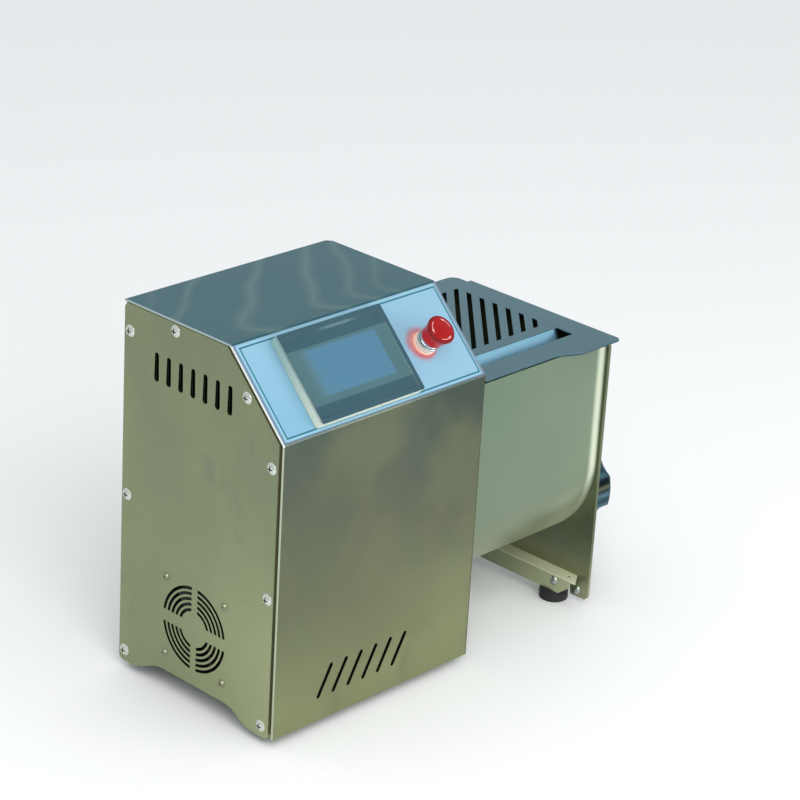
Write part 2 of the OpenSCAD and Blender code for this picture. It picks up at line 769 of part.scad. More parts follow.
module stop_contact_block() color([0.16, 0.17, 0.18]) at_frame() at_stop() difference() {
    union() {
        translate([-14, -14, -sheet_t - 38 - 2 * tilt_lift]) cube([28, 28, 35]);
        translate([0, 0, -sheet_t - 4]) cylinder(r = stop_hole_r - 0.2, h = sheet_t + 4 + overlay_t);
    }
    translate([0, 0, neck_low - stop_travel - 1]) cylinder(r = neck_r + 0.4, h = 40);
}

module fan_frame() color(black) at_frame() translate([side_t, fan_y, fan_z]) difference() {
    union() {
        difference() {
            rotate([90, 0, 90]) translate([-fan_size / 2, -fan_size / 2, 0])
                rounded_block(fan_size, fan_size, fan_depth, 4);
            rod(-1, 0, 0, fan_size / 2 - 1.5, fan_depth + 2);
        }
        rod(fan_depth - 4, 0, 0, 17, 4);
        for (a = [0:3]) rotate([a * 90 + 45, 0, 0]) translate([fan_depth - 4, 12, -2.5])
            cube([4, fan_size / 2 - 13, 5]);
        rod(4, 0, 0, 1.5, fan_depth - 5);
    }
    for (sy = [-1, 1], sz = [-1, 1])
        rod(-1, sy * fan_pitch / 2, sz * fan_pitch / 2, fan_screw_r + screw_play, fan_depth + 2);
}

module fan_impeller() color([0.14, 0.14, 0.15]) at_frame() translate([side_t, fan_y, fan_z])
    difference() {
        intersection() {
            union() {
                rod(2.5, 0, 0, 15.5, 17.5);
                for (i = [0:fan_blades - 1]) rotate([i * 360 / fan_blades, 0, 0])
                    translate([11.2, 13, 0]) rotate([0, 38, 0]) translate([-1, 0, -10])
                        cube([1.6, fan_size, 20]);
            }
            rod(2.5, 0, 0, fan_size / 2 - 3.2, 17.5);
        }
        rod(3.5, 0, 0, 1.5 + running_gap, 20);
    }

module fan_screws() color(zinc) at_frame() for (sy = [-1, 1], sz = [-1, 1])
    translate([0, fan_y + sy * fan_pitch / 2, fan_z + sz * fan_pitch / 2]) rotate([0, 90, 0])
        difference() {
            union() {
                translate([0, 0, -1.8]) cylinder(r1 = 2.4, r2 = 3.6, h = 1.8);
                cylinder(r = fan_screw_r, h = side_t + fan_depth + 5);
            }
            for (a = [0, 90]) rotate(a) translate([-1.8, -0.4, -2.6]) cube([3.6, 0.8, 1.6]);
        }

module fan_nuts() color(zinc) at_frame() for (sy = [-1, 1], sz = [-1, 1])
    translate([side_t + fan_depth, fan_y + sy * fan_pitch / 2, fan_z + sz * fan_pitch / 2])
        rotate([0, 90, 0]) difference() {
            cylinder(r = 4, h = 3.2, $fn = 6);
            translate([0, 0, -1]) cylinder(r = fan_screw_r, h = 6);
        }

// The motor: square end shields on a finned round body
module gear_motor() color([0.30, 0.32, 0.34]) at_frame() translate([motor_x, mid_y, auger_z]) {
    shield = 12;
    for (x = [0, motor_len - shield]) translate([x, 0, 0]) rotate([90, 0, 90])
        translate([-motor_size / 2, -motor_size / 2, 0])
            rounded_block(motor_size, motor_size, shield, 9);
    rod(shield - 1, 0, 0, motor_size / 2 - 5, motor_len - 2 * shield + 2);
    for (x = [shield + 5:8:motor_len - shield - 6]) rod(x, 0, 0, motor_size / 2 - 2, 3);
    translate([30, -22, motor_size / 2 - 4]) cube([44, 44, 18]);
}

module gearbox() color([0.55, 0.57, 0.58]) at_frame() translate([gearbox_x, mid_y, auger_z])
    difference() {
        rotate([90, 0, 90]) translate([-motor_size / 2, -motor_size / 2, 0])
            rounded_block(motor_size, motor_size, gearbox_len, 9);
        rod(gearbox_len - 14, 0, 0, output_r + running_gap, 20);
        for (sy = [-1, 1], sz = [-1, 1]) {
            rod(gearbox_len - 14, sy * gearbox_pitch / 2, sz * gearbox_pitch / 2, gearbox_bolt_r,
                20);
            translate([8, sy * motor_size / 2 - 4, sz * motor_size / 2 - 4])
                cube([gearbox_len - 16, 8, 8]);
        }
    }

module output_shaft() color(bright_steel) at_frame()
    rod(plate_x - 12, mid_y, auger_z, output_r, inner_x - plate_x + 12 - 1);

// Involute tooth outline: flank points on both sides of each tooth, joined round the gear
function involute(rb, r) = let (t = sqrt(pow(r / rb, 2) - 1)) t * 180 / PI - atan(t);
function flank(teeth, r) = let (
    pitch_r = gear_module * teeth / 2,
    rb = pitch_r * cos(20),
    half = 90 / teeth - gear_play / 4 / pitch_r * 180 / PI)
    half + involute(rb, pitch_r) - involute(rb, max(r, rb));
function gear_points(teeth) = let (
    pitch_r = gear_module * teeth / 2,
    root = pitch_r - 1.25 * gear_module,
    radii = [root, max(root, pitch_r * cos(20)) + 0.05, pitch_r, pitch_r + gear_module * 0.55,
        pitch_r + gear_module])
    [for (k = [0:teeth - 1], side = [-1, 1], i = [0:4]) let (
        r = radii[side < 0 ? i : 4 - i],
        a = k * 360 / teeth + side * flank(teeth, r))
        r * [cos(a), sin(a)]];

// A spur gear along X with a raised hub, its teeth turned by the angle phase
module gear(z, teeth, phase, bore, hub_r) {
    translate([gear_x, mid_y, z]) {
        difference() {
            union() {
                slab(0, gear_face) rotate(phase) polygon(gear_points(teeth));
                rod(-hub_rise, 0, 0, hub_r, gear_face + hub_rise);
            }
            rod(-hub_rise - 1, 0, 0, bore, gear_face + hub_rise + 2);
        }
    }
}

module drive_gear() color(dark_steel) at_frame()
    gear(auger_z, drive_teeth, 90, output_r, output_r + 7);

// The mixer gear has a gap where the drive gear has a tooth, and round lightening holes
module mixer_gear() color(dark_steel) at_frame() difference() {
    gear(mixer_z, mixer_teeth, 270 - 180 / mixer_teeth, mixer_shaft_r, mixer_shaft_r + 8);
    for (a = [0:60:300]) rotate_about(mid_y, mixer_z, a)
        rod(gear_x - 1, mid_y, mixer_z + lighten_at, lighten_r, gear_face + 2);
}

module rotate_about(y, z, a) translate([0, y, z]) rotate([a, 0, 0]) translate([0, -y, -z]) children();

module bearing_plate() color(dark_steel) at_frame() difference() {
    translate([plate_x, mid_y - plate_half, base_top])
        cube([plate_t, 2 * plate_half, mixer_z + plate_over - base_top]);
    rod(plate_x - 1, mid_y, auger_z, output_r + 6, plate_t + 2);
    rod(plate_x - 1, mid_y, mixer_z, mixer_shaft_r + bush_t, plate_t + 2);
    for (sy = [-1, 1], sz = [-1, 1])
        rod(plate_x - 1, mid_y + sy * gearbox_pitch / 2, auger_z + sz * gearbox_pitch / 2,
            gearbox_bolt_r + screw_play, plate_t + 2);
    for (p = spacer_places) rod(plate_x - 1, p[0], p[1], 3, plate_t + 2);
}

// Round pillars that tie the bearing plate to the inner panel, each with a screw through it
module plate_spacers() color(zinc) at_frame() for (p = spacer_places) {
    rod(plate_x + plate_t, p[0], p[1], spacer_r, gear_space);
    rod(plate_x - 1, p[0], p[1], 3, plate_t + 2);
    translate([plate_x - 4, p[0], p[1]]) rotate([0, 90, 0]) cylinder(r = 5.5, h = 4, $fn = 6);
}

module gearbox_screws() color(zinc) at_frame() for (sy = [-1, 1], sz = [-1, 1])
    translate([plate_x + plate_t, mid_y + sy * gearbox_pitch / 2, auger_z + sz * gearbox_pitch / 2])
        rotate([0, 90, 0]) {
            cylinder(r = 5, h = 3.2, $fn = 6);
            translate([0, 0, -plate_t - 12]) cylinder(r = gearbox_bolt_r, h = plate_t + 13);
        }

// Plain bronze bushes: one in the bearing plate, two in the bearing blocks
module shaft_bushes() color(bronze) at_frame() {
    for (b = [[plate_x, plate_t], [inner_x - bearing_t, bearing_t]])
        ring_x(b[0], mid_y, mixer_z, mixer_shaft_r + bush_t, mixer_shaft_r + running_gap, b[1]);
    ring_x(inner_x - bearing_t, mid_y, auger_z, sleeve_r + 3, sleeve_r + running_gap, bearing_t);
}

module bearing_blocks() color([0.50, 0.52, 0.52]) at_frame() {
    ring_x(inner_x - bearing_t, mid_y, mixer_z, mixer_shaft_r + 13, mixer_shaft_r + bush_t,
        bearing_t);
    ring_x(inner_x - bearing_t, mid_y, auger_z, sleeve_r + 11, sleeve_r + 3, bearing_t);
}

// The sleeve takes the output shaft in a bore at one end and the auger's hexagon at the other
module drive_sleeve() color(bright_steel) at_frame() difference() {
    rod(inner_x - bearing_t, mid_y, auger_z, sleeve_r, sleeve_end - inner_x + bearing_t);
    rod(inner_x - bearing_t - 1, mid_y, auger_z, output_r, bearing_t);
    translate([socket_x, mid_y, auger_z]) rotate([0, 90, 0])
        cylinder(r = hex_r, h = 20, $fn = 6);
}

// Lip seals pressed into the trough's end wall
module shaft_seals() color(black) at_frame() {
    ring_x(house_w, mid_y, auger_z, sleeve_r + 4, sleeve_r + running_gap, trough_t + seal_len);
    ring_x(house_w, mid_y, mixer_z, mixer_shaft_r + 4, mixer_shaft_r + running_gap,
        trough_t + seal_len);
}

// The trough's U outline in Y and Z, moved inwards by inset
module u_outline(inset) {
    translate([mid_y, trough_z]) circle(trough_r - inset);
    translate([mid_y - trough_r + inset, trough_z])
        square([2 * (trough_r - inset), trough_top - trough_z]);
}

module hopper_trough() color([0.60, 0.66, 0.58]) at_frame() {
    difference() {
        slab(house_w, trough_len) u_outline(0);
        slab(house_w + trough_t, trough_len) u_outline(trough_t);
        slab(house_w + trough_t, trough_len)
            translate([mid_y - trough_in, trough_top - 1]) square([2 * trough_in, 2]);
        rod(house_w - 1, mid_y, auger_z, sleeve_r + 4, trough_t + 2);
        rod(house_w - 1, mid_y, mixer_z, mixer_shaft_r + 4, trough_t + 2);
    }
}

module barrel_screw_places() {
    for (i = [0:barrel_screws_n - 1]) rotate([i * 360 / barrel_screws_n + 30, 0, 0])
        translate([0, 0, barrel_screw_pcd / 2]) rotate([0, 90, 0]) children();
}

module end_outline() {
    polygon(concat(toe_edge(0, end_toe_len, 3.5, end_toe_len, 3.5),
        arc([house_d - 6, trough_top - 6], 6, 0, 90), arc([6, trough_top - 6], 6, 90, 180)));
}

module end_plate() color(steel) at_frame() difference() {
    slab(end_x, end_t) end_outline();
    rod(end_x - 1, mid_y, auger_z, barrel_pilot_r, end_t + 2);
    // Blind holes, so that no screw shows on the plate's inner face
    translate([end_x + barrel_skin, mid_y, auger_z]) barrel_screw_places()
        cylinder(r = barrel_screw_r, h = end_t);
    for (y = rail_bolt_ys) rod(end_x - 1, y, rail_bolt_z, screw_r, end_t + 2);
    for (p = end_screws) rod(end_x - 1, p[0], p[1], screw_r, end_t + 2);
    // A narrow upright slot under the trough's front side
    translate([end_x - 1, 30.3, 45]) cube([end_t + 2, 1.4, 21]);
}

// The cover's outline in X and Y: straight at the left, stepping out to a lifting tab
module lid_outline() {
    polygon(concat(
        [[lid_x0, lid_front]],
        s_curve([tab_x - tab_blend, lid_front], [tab_x, -tab_out]),
        arc([lid_x1 - 6, -tab_out + 6], 6, 270, 360),
        [[lid_x1, lid_back - 18], [lid_x1 - 4.5, lid_back - 18], [lid_x1 - 4.5, lid_back - 9]],
        arc([lid_x1 - 13.5, lid_back - 9], 9, 0, 90),
        [[lid_x0, lid_back]]));
}

// Slanted slots at 45 degrees, clipped to one rectangle
module lid_slots() {
    intersection() {
        translate([slot_x0, slot_y0]) square([slot_x1 - slot_x0, slot_y1 - slot_y0]);
        for (i = [0:15]) translate([slot_x1 - 14.5 - i * lid_slot_pitch, slot_y0])
            rotate(45) translate([-20, -lid_slot_w / 2]) square([220, lid_slot_w]);
    }
}

module hopper_cover() color([0.50, 0.62, 0.64]) at_frame() {
    difference() {
        translate([0, 0, lid_z]) linear_extrude(lid_t) lid_outline();
        translate([0, 0, lid_z - 1]) linear_extrude(lid_t + 2) lid_slots();
        translate([slot_x0, pour_y, lid_z - 1]) cube([slot_x1 - slot_x0, pour_w, lid_t + 2]);
    }
    translate([slot_x0 + 2, pour_y + pour_w, lid_z + lid_t]) rotate([flap_angle, 0, 0])
        translate([0, -pour_w, -lid_t]) cube([slot_x1 - slot_x0 - 4, pour_w, lid_t]);
}

// Small pads on the trough's front rim and on the end plate, which the closed cover rests on
module cover_buffers() color(black) at_frame() translate([0, 0, trough_top]) {
    for (x = [house_w + 40, end_x - 40]) translate([x, mid_y - trough_r + buffer_play, 0])
        cube([buffer_len, trough_t - 2 * buffer_play, lid_gap - buffer_play]);
    for (y = [mid_y - 46, mid_y + 46 - buffer_len]) translate([end_x + buffer_play, y, 0])
        cube([end_t - 2 * buffer_play, buffer_len, lid_gap - buffer_play]);
}

// Fixed leaves on the trough's back wall, each with two outer knuckles
module hinge_leaves() color(bright_steel) at_frame() for (x = hinge_places) difference() {
    union() {
        translate([x, mid_y + trough_r, hinge_z - 28]) cube([hinge_len, leaf_t, 24]);
        for (dx = [0, hinge_len - knuckle_len + knuckle_play]) {
            rod(x + dx, hinge_y, hinge_z, hinge_r, knuckle_len - knuckle_play);
            translate([x + dx, mid_y + trough_r, hinge_z - hinge_r - 2])
                cube([knuckle_len - knuckle_play, hinge_y - mid_y - trough_r + 1, 3]);
            translate([x + dx, hinge_y - 2, hinge_z - hinge_r - 2])
                cube([knuckle_len - knuckle_play, 3, 4]);
        }
    }
    rod(x - 1, hinge_y, hinge_z, hinge_pin_r, hinge_len + 2);
}

module hinge_pins() color(zinc) at_frame() for (x = hinge_places)
    rod(x - 1, hinge_y, hinge_z, hinge_pin_r, hinge_len + 2);

// The cover's own knuckles, on short arms under its back edge
module cover_knuckles() color(bright_steel) at_frame() for (x = hinge_places) difference() {
    union() {
        rod(x + knuckle_len, hinge_y, hinge_z, hinge_r, hinge_len - 2 * knuckle_len);
        translate([x + knuckle_len, mid_y + trough_r + 0.3, lid_z - leaf_t])
            cube([hinge_len - 2 * knuckle_len, hinge_y - mid_y - trough_r - 0.3, leaf_t]);
        translate([x + knuckle_len, hinge_y - 3, hinge_z])
            cube([hinge_len - 2 * knuckle_len, 3, lid_z - hinge_z]);
    }
    rod(x - 1, hinge_y, hinge_z, hinge_pin_r + running_gap, hinge_len + 2);
}

module mixer_shaft() color(bright_steel) at_frame()
    rod(plate_x - 3, mid_y, mixer_z, mixer_shaft_r, end_x - plate_x + 3 - 2);

module mixing_paddles() color(bright_steel) at_frame() difference() {
    step = hub_len / paddles;
    translate([0, mid_y, mixer_z]) union() {
        rod(hub_x, 0, 0, mixer_shaft_r + 4, hub_len);
        for (i = [0:paddles - 1]) rotate([i * 120, 0, 0]) intersection() {
            translate([hub_x + step * (i + 0.5), 0, 0]) rotate([0, 0, 32])
                translate([-8, -2, 0]) cube([16, 4, paddle_r + 4]);
            rod(hub_x, 0, 0, paddle_r, hub_len);
        }
    }
    rod(hub_x - 1, mid_y, mixer_z, mixer_shaft_r, hub_len + 2);
}

module mixer_end_bush() color(bronze) at_frame() difference() {
    rod(end_x - mixer_end_t, mid_y, mixer_z, mixer_shaft_r + 6, mixer_end_t);
    rod(end_x - mixer_end_t - 1, mid_y, mixer_z, mixer_shaft_r + running_gap, mixer_end_t);
}

// One helical flight round a core, with a hexagon tail for the drive sleeve
module auger_screw() color(bright_steel) at_frame() translate([0, mid_y, auger_z]) {
    flight_span = 54;
    rod(sleeve_end + 0.5, 0, 0, auger_core_r, flight_x1 - sleeve_end - 0.5);
    translate([socket_x + 1, 0, 0]) rotate([0, 90, 0])
        cylinder(r = hex_r - hex_play, h = sleeve_end - socket_x, $fn = 6);
    translate([flight_x0, 0, 0]) rotate([0, 90, 0])
        linear_extrude(flight_x1 - flight_x0 - 1, twist = 360 * auger_turns, slices = 15 * auger_turns)
            polygon(concat(arc([0, 0], auger_core_r - 1.5, flight_span, 0, 2),
                arc([0, 0], auger_r, flight_span * 0.1, flight_span * 0.9, 3)));
}

module extruder_barrel() color(bright_steel) at_frame() translate([0, mid_y, auger_z]) difference() {
    union() {
        rod(end_face_x, 0, 0, barrel_r, barrel_len);
        rod(end_face_x, 0, 0, barrel_r + barrel_step, barrel_step);
        rod(end_x, 0, 0, barrel_pilot_r, end_t + 1);
    }
    rod(end_x - 1, 0, 0, auger_r + auger_gap, barrel_len + end_t + 2);
}

// A ring that clamps the barrel's step against the end plate
module barrel_flange() color(bright_steel) at_frame() translate([end_face_x, mid_y, auger_z])
    difference() {
        rod(0, 0, 0, flange_r, flange_t);
        rod(-1, 0, 0, barrel_r + running_gap, flange_t + 2);
        rod(-1, 0, 0, barrel_r + barrel_step + running_gap, barrel_step + running_gap + 1);
        translate([-1, 0, 0]) barrel_screw_places()
            cylinder(r = barrel_screw_r + screw_play, h = flange_t + 2);
    }

module barrel_screws() color(zinc) at_frame() translate([end_face_x + flange_t, mid_y, auger_z])
    barrel_screw_places() {
        cylinder(r = 4, h = 3);
        translate([0, 0, barrel_skin - flange_t - end_t])
            cylinder(r = barrel_screw_r, h = flange_t + end_t);
    }

// A bronze die with a ring of round holes, held in the nut against the barrel's end
module shaping_die() color(bronze) at_frame() translate([barrel_end_x, mid_y, auger_z]) difference() {
    rod(0, 0, 0, barrel_r - 1, die_t);
    rod(-1, 0, 0, auger_r, die_t - 4);
    for (i = [0:7]) rotate([i * 45, 0, 0]) rod(-2, 0, 16, 2.6, die_t + 4);
    for (i = [0:3]) rotate([i * 90 + 20, 0, 0]) rod(-2, 0, 7, 2.6, die_t + 4);
}

// Scallops cut between the lobes leave each lobe nut_lobe_w wide
module nut_profile() {
    gap = 2 * nut_lobe_r * sin(180 / nut_lobes) - nut_lobe_w;
    depth = nut_lobe_r - nut_r;
    scallop_r = (gap * gap / 4 + depth * depth) / (2 * depth);
    difference() {
        circle(nut_lobe_r);
        for (i = [0:nut_lobes - 1]) rotate((i + 0.5) * 360 / nut_lobes)
            translate([nut_r + scallop_r, 0]) circle(scallop_r);
    }
}

module ring_nut() color(bright_steel) at_frame() translate([nut_x0, mid_y, auger_z]) difference() {
    intersection() {
        slab(0, nut_len) nut_profile();
        rotate([0, 90, 0]) rotate_extrude() polygon(concat([[0, 0]],
            [[nut_lobe_r - 2, 0], [nut_lobe_r + 1, 3]],
            arc([nut_lobe_r + 0.5 - nut_round, nut_len - nut_round], nut_round, 0, 90),
            [[0, nut_len]]));
    }
    rod(-1, 0, 0, barrel_r + running_gap, nut_len - nut_lip + 1);
    rod(-1, 0, 0, nut_lip_r, nut_len + 2);
}

module controller_board() color([0.12, 0.38, 0.22]) at_frame()
    translate([board_x, rear_y - board_gap - board_t, board_z]) {
        cube([board_w, board_t, board_h]);
        translate([6, -14, 8]) cube([18, 14.5, 30]);
        translate([30, -16, 10]) cube([28, 16.5, 16]);
        translate([6, -12, board_h - 22]) cube([board_w - 16, 12.5, 10]);
        for (i = [0:2]) translate([36 + i * 12, 0.5, 48]) rotate([90, 0, 0])
            cylinder(r = 5, h = 20);
        translate([8, -3, 46]) cube([16, 3.5, 16]);
    }

module board_standoffs() color(bronze) at_frame()
    for (dx = [standoff_in, board_w - standoff_in], dz = [standoff_in, board_h - standoff_in])
    translate([board_x + dx, rear_y, board_z + dz]) rotate([90, 0, 0])
        cylinder(r = 3, h = board_gap, $fn = 6);

module power_supply() color([0.66, 0.68, 0.68]) at_frame()
    translate([supply_x, rear_y - supply_d, board_z]) difference() {
        cube([supply_w, supply_d, supply_h]);
        for (x = [8:9:supply_w - 6], z = [18:9:supply_h - 10]) translate([x, -1, z])
            rotate([-90, 0, 0]) cylinder(r = 2, h = 3);
        translate([4, -1, -1]) cube([supply_w - 8, supply_d / 2, 11]);
    }

// A recessed mains inlet with three blades
module power_inlet() color(black) at_frame() translate([inlet_x, rear_y, inlet_z]) {
    difference() {
        union() {
            translate([-25, sheet_t, -11.5]) cube([50, 3, 23]);
            translate([-13.5, -20, -9.7]) cube([27, 22, 19.4]);
        }
        translate([-11.5, -14, -7.7]) cube([23, 25, 15.4]);
        for (sx = [-1, 1]) translate([sx * 20, 0, 0]) rotate([-90, 0, 0]) cylinder(r = 1.7, h = 10);
    }
    for (p = [[-7, -1.5], [0, 1.5], [7, -1.5]])
        translate([p[0] - 1, -15, p[1] - 2]) cube([2, 14, 4]);
}

module switch_frame() color(black) at_frame() translate([switch_x, rear_y, inlet_z]) difference() {
    union() {
        translate([-10.5, sheet_t, -7.5]) cube([21, 2, 15]);
        translate([-9.4, -18, -6.4]) cube([18.8, 20, 12.8]);
    }
    translate([-8, -8, -5]) cube([16, 20, 10]);
}

// The rocker turns on an axis along Z and rests tipped to one side
module switch_rocker() color([0.70, 0.10, 0.08]) at_frame()
    translate([switch_x, rear_y, inlet_z]) rotate([0, 0, -rocker_angle]) intersection() {
        translate([0, 0, -4.7]) cylinder(r = 7.6, h = 9.4);
        translate([0, 0, -4.7]) linear_extrude(9.4)
            polygon([[-8, -4], [8, -4], [8, 2.6], [0, 1.6], [-8, 2.6]]);
    }

left_side_panel();
inner_side_panel();
main_cover();
rear_panel();
base_plate();
left_foot_rail();
end_foot_rail();
rubber_feet();
foot_bolts();
left_panel_screws();
inner_panel_screws();
end_plate_screws();
rail_screws();
control_overlay();
touchscreen_frame();
touchscreen_glass();
touchscreen_case();
stop_head();
stop_plunger();
stop_collar();
stop_lock_nut();
stop_contact_block();
fan_frame();
fan_impeller();
fan_screws();
fan_nuts();
gear_motor();
gearbox();
output_shaft();
drive_gear();
mixer_gear();
bearing_plate();
plate_spacers();
gearbox_screws();
shaft_bushes();
bearing_blocks();
drive_sleeve();
shaft_seals();
hopper_trough();
end_plate();
hopper_cover();
cover_buffers();
hinge_leaves();
hinge_pins();
cover_knuckles();
mixer_shaft();
mixing_paddles();
auger_screw();
mixer_end_bush();
extruder_barrel();
barrel_flange();
barrel_screws();
shaping_die();
ring_nut();
controller_board();
board_standoffs();
power_supply();
power_inlet();
switch_frame();
switch_rocker();
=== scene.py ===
# %% [markdown]
# # A countertop pasta maker, dressed in Blender
#
# The machine stands here as a bare frame of solids: every plate, shaft and screw already has its
# size and place. This lesson gives those solids their finish. Sheet metal gets rounded edges and a
# satin grain, the control panel gets its printed film and glass, and the turned, moulded and cast
# pieces get surfaces of their own. Nothing is moved: each new piece is built where the frame says.

# %% Load the frame
import json
import math

import bmesh
import bpy
from mathutils import Matrix, Vector


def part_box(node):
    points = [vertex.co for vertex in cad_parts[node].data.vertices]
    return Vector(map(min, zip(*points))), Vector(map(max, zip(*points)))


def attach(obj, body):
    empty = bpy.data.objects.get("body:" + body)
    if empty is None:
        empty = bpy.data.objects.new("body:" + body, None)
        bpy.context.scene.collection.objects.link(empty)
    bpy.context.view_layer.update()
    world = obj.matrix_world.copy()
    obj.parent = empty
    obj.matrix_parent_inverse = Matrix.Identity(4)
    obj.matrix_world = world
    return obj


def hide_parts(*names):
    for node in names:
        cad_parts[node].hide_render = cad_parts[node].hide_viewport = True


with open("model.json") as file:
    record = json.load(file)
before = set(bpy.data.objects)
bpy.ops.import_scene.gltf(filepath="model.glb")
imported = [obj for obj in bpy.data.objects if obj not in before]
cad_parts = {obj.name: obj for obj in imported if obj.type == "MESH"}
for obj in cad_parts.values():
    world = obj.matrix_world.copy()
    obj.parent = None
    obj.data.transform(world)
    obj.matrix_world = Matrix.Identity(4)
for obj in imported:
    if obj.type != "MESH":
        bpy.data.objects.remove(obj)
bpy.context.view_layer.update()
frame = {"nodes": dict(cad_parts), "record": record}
nodes = frame["nodes"]
MM = 0.001

# %% [markdown]
# ## A corner to measure from
#
# A maker measures a housing from its lower left front corner: x to the right along the front, y to
# the back, z up. The frame's origin is on the ground under the middle of the machine, so `at` turns
# such workshop millimetres into places in the frame, and `workshop_box` reads a solid's box in
# them. The corner and the housing's size are read from the folded cover, so they follow the frame.
#
# The control panel slopes back at 45 degrees. SLOPE takes a mesh that was made flat, in measures
# along the panel, up its slope and out of it, to its place there.

# %% Workshop coordinates
corner, cover_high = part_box("main_cover")
house_w, house_d, house_h = (cover_high - corner) / MM
bevel_run = 65
bevel_z = house_h - bevel_run
HALF_ROOT = math.sqrt(0.5)


def at(x, y, z):
    """A place given in workshop millimetres, in the frame's metres."""
    return corner + Vector((x, y, z)) * MM


def workshop_box(name):
    """The lowest and the highest corner of a node's solid, in workshop millimetres."""
    return [(edge - corner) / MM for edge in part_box(name)]


SLOPE = Matrix.Translation(at(0, 0, bevel_z)) @ Matrix.Rotation(math.radians(45), 4, "X")
joints = {joint["name"]: joint for joint in frame["record"]["behaviour"]["joints"]}
print(f"housing {house_w:.0f} x {house_d:.0f} x {house_h:.0f} mm")

# %% [markdown]
# ## The camera
#
# The machine is seen from the front left and a little above, from two and a half metres away and
# through a long lens, which keeps the upright edges almost parallel. The camera is placed by three
# angles and turned with a matrix whose columns are its right, up and backward directions.

# %% Camera
CAMERA_PLACE = (-1422.3, -1446.9, 1175.8)
YAW, PITCH, ROLL = (math.radians(a) for a in (47.01, -23.12, 3.36))
LENS, SENSOR = 127.6, 36

forward = Vector((math.sin(YAW) * math.cos(PITCH), math.cos(YAW) * math.cos(PITCH),
                  math.sin(PITCH)))
level = forward.cross(Vector((0, 0, 1))).normalized()
above = level.cross(forward)
right = level * math.cos(ROLL) + above * math.sin(ROLL)
up = above * math.cos(ROLL) - level * math.sin(ROLL)

camera = bpy.data.objects.new("camera", bpy.data.cameras.new("camera"))
camera.data.lens = LENS
camera.data.sensor_width = SENSOR
turn = Matrix((right, up, -forward)).transposed().to_4x4()
camera.matrix_world = Matrix.Translation(at(*CAMERA_PLACE)) @ turn
bpy.context.scene.collection.objects.link(camera)
bpy.context.scene.camera = camera
print("camera", [round(c, 3) for c in camera.location])

# %% [markdown]
# ## Shader maths
#
# Blender's materials are graphs of nodes, and long sums of Math nodes are hard to read. `Wire`
# stands for one socket and overloads the arithmetic signs, so a sum in Python becomes a chain of
# Math nodes. `sign` makes the method for each of them. A comparison gives 1 where it holds and 0
# elsewhere, so a product of comparisons is a mask.

# %% Wire
def sign(operation, swapped=False):
    """A method of Wire for one arithmetic sign."""
    def method(self, *others):
        values = (self, *others)
        return self.math(operation, *(values[::-1] if swapped else values))
    return method


class Wire:
    """One output socket, with arithmetic that adds Math nodes."""

    def __init__(self, graph, socket):
        self.graph = graph
        self.socket = socket

    def math(self, operation, *values):
        """Adds one Math node."""
        return self.graph.node("ShaderNodeMath", {"operation": operation}, *values)

    __add__ = __radd__ = sign("ADD")
    __sub__ = sign("SUBTRACT")
    __rsub__ = sign("SUBTRACT", swapped=True)
    __mul__ = __rmul__ = sign("MULTIPLY")
    __truediv__ = sign("DIVIDE")
    __pow__ = sign("POWER")
    __gt__ = sign("GREATER_THAN")
    __lt__ = sign("LESS_THAN")
    __abs__ = sign("ABSOLUTE")


def larger(first, second):
    """The larger of a wire and a number or wire."""
    return first.math("MAXIMUM", first, second)


def fraction(wire):
    """What a wire has above its last whole number."""
    return wire.math("FRACT", wire)


def turns(rise, run):
    """How far round its centre a point lies, in whole turns."""
    return rise.math("ARCTAN2", rise, run) / math.tau


def distance(run, rise):
    """How far a point lies from its centre."""
    return (run ** 2.0 + rise ** 2.0) ** 0.5


def between(wire, low, high):
    """A mask of where the wire lies between two numbers."""
    return (wire > low) * (wire < high)


def fade(wire, start, end):
    """Runs smoothly from 0 where the wire is start to 1 where it is end."""
    return wire.graph.node("ShaderNodeMapRange", {"interpolation_type": "SMOOTHSTEP"}, wire, start,
                           end, 0.0, 1.0)


print("wires ready")

# %% [markdown]
# ## Graphs and finishes
#
# `Graph` holds a tree of nodes and has one method, `node`, that makes any node: it takes the node's
# type, its settings and what goes into its sockets. `Finish` is the graph of a material. It adds
# what the machine's surfaces share: places in workshop millimetres, noise and colour ramps. Its
# `done` comes last and sets what nearly every surface has: a colour, a gloss and a relief.

# %% Graph
def set_stops(elements, stops):
    """Gives a colour ramp its stops, each a place and a colour."""
    while len(elements) < len(stops):
        elements.new(0.5)
    for element, (place, color) in zip(elements, stops):
        element.position = place
        element.color = (*color, 1.0)


class Graph:
    """A tree of nodes that ends in one shader."""

    def __init__(self, tree, shader):
        self.tree = tree
        self.shader = tree.nodes[shader]

    def set(self, socket, value):
        """Puts a number, a colour or a wire into one of the shader's sockets."""
        if isinstance(value, Wire):
            self.tree.links.new(value.socket, self.shader.inputs[socket])
        else:
            self.shader.inputs[socket].default_value = value

    def node(self, kind, settings, *values, out=0, **named):
        """Makes a node; values fill its sockets in order, named ones by their names."""
        made = self.tree.nodes.new(kind)
        for key, value in settings.items():
            if key == "stops":
                set_stops(made.color_ramp.elements, value)
            else:
                setattr(made, key, value)
        sockets = list(enumerate(values)) + [(k.replace("_", " "), v) for k, v in named.items()]
        for key, value in sockets:
            if isinstance(value, Wire):
                self.tree.links.new(value.socket, made.inputs[key])
            elif value is not None:
                made.inputs[key].default_value = value
        return Wire(self, made.outputs[out])


print("graphs ready")

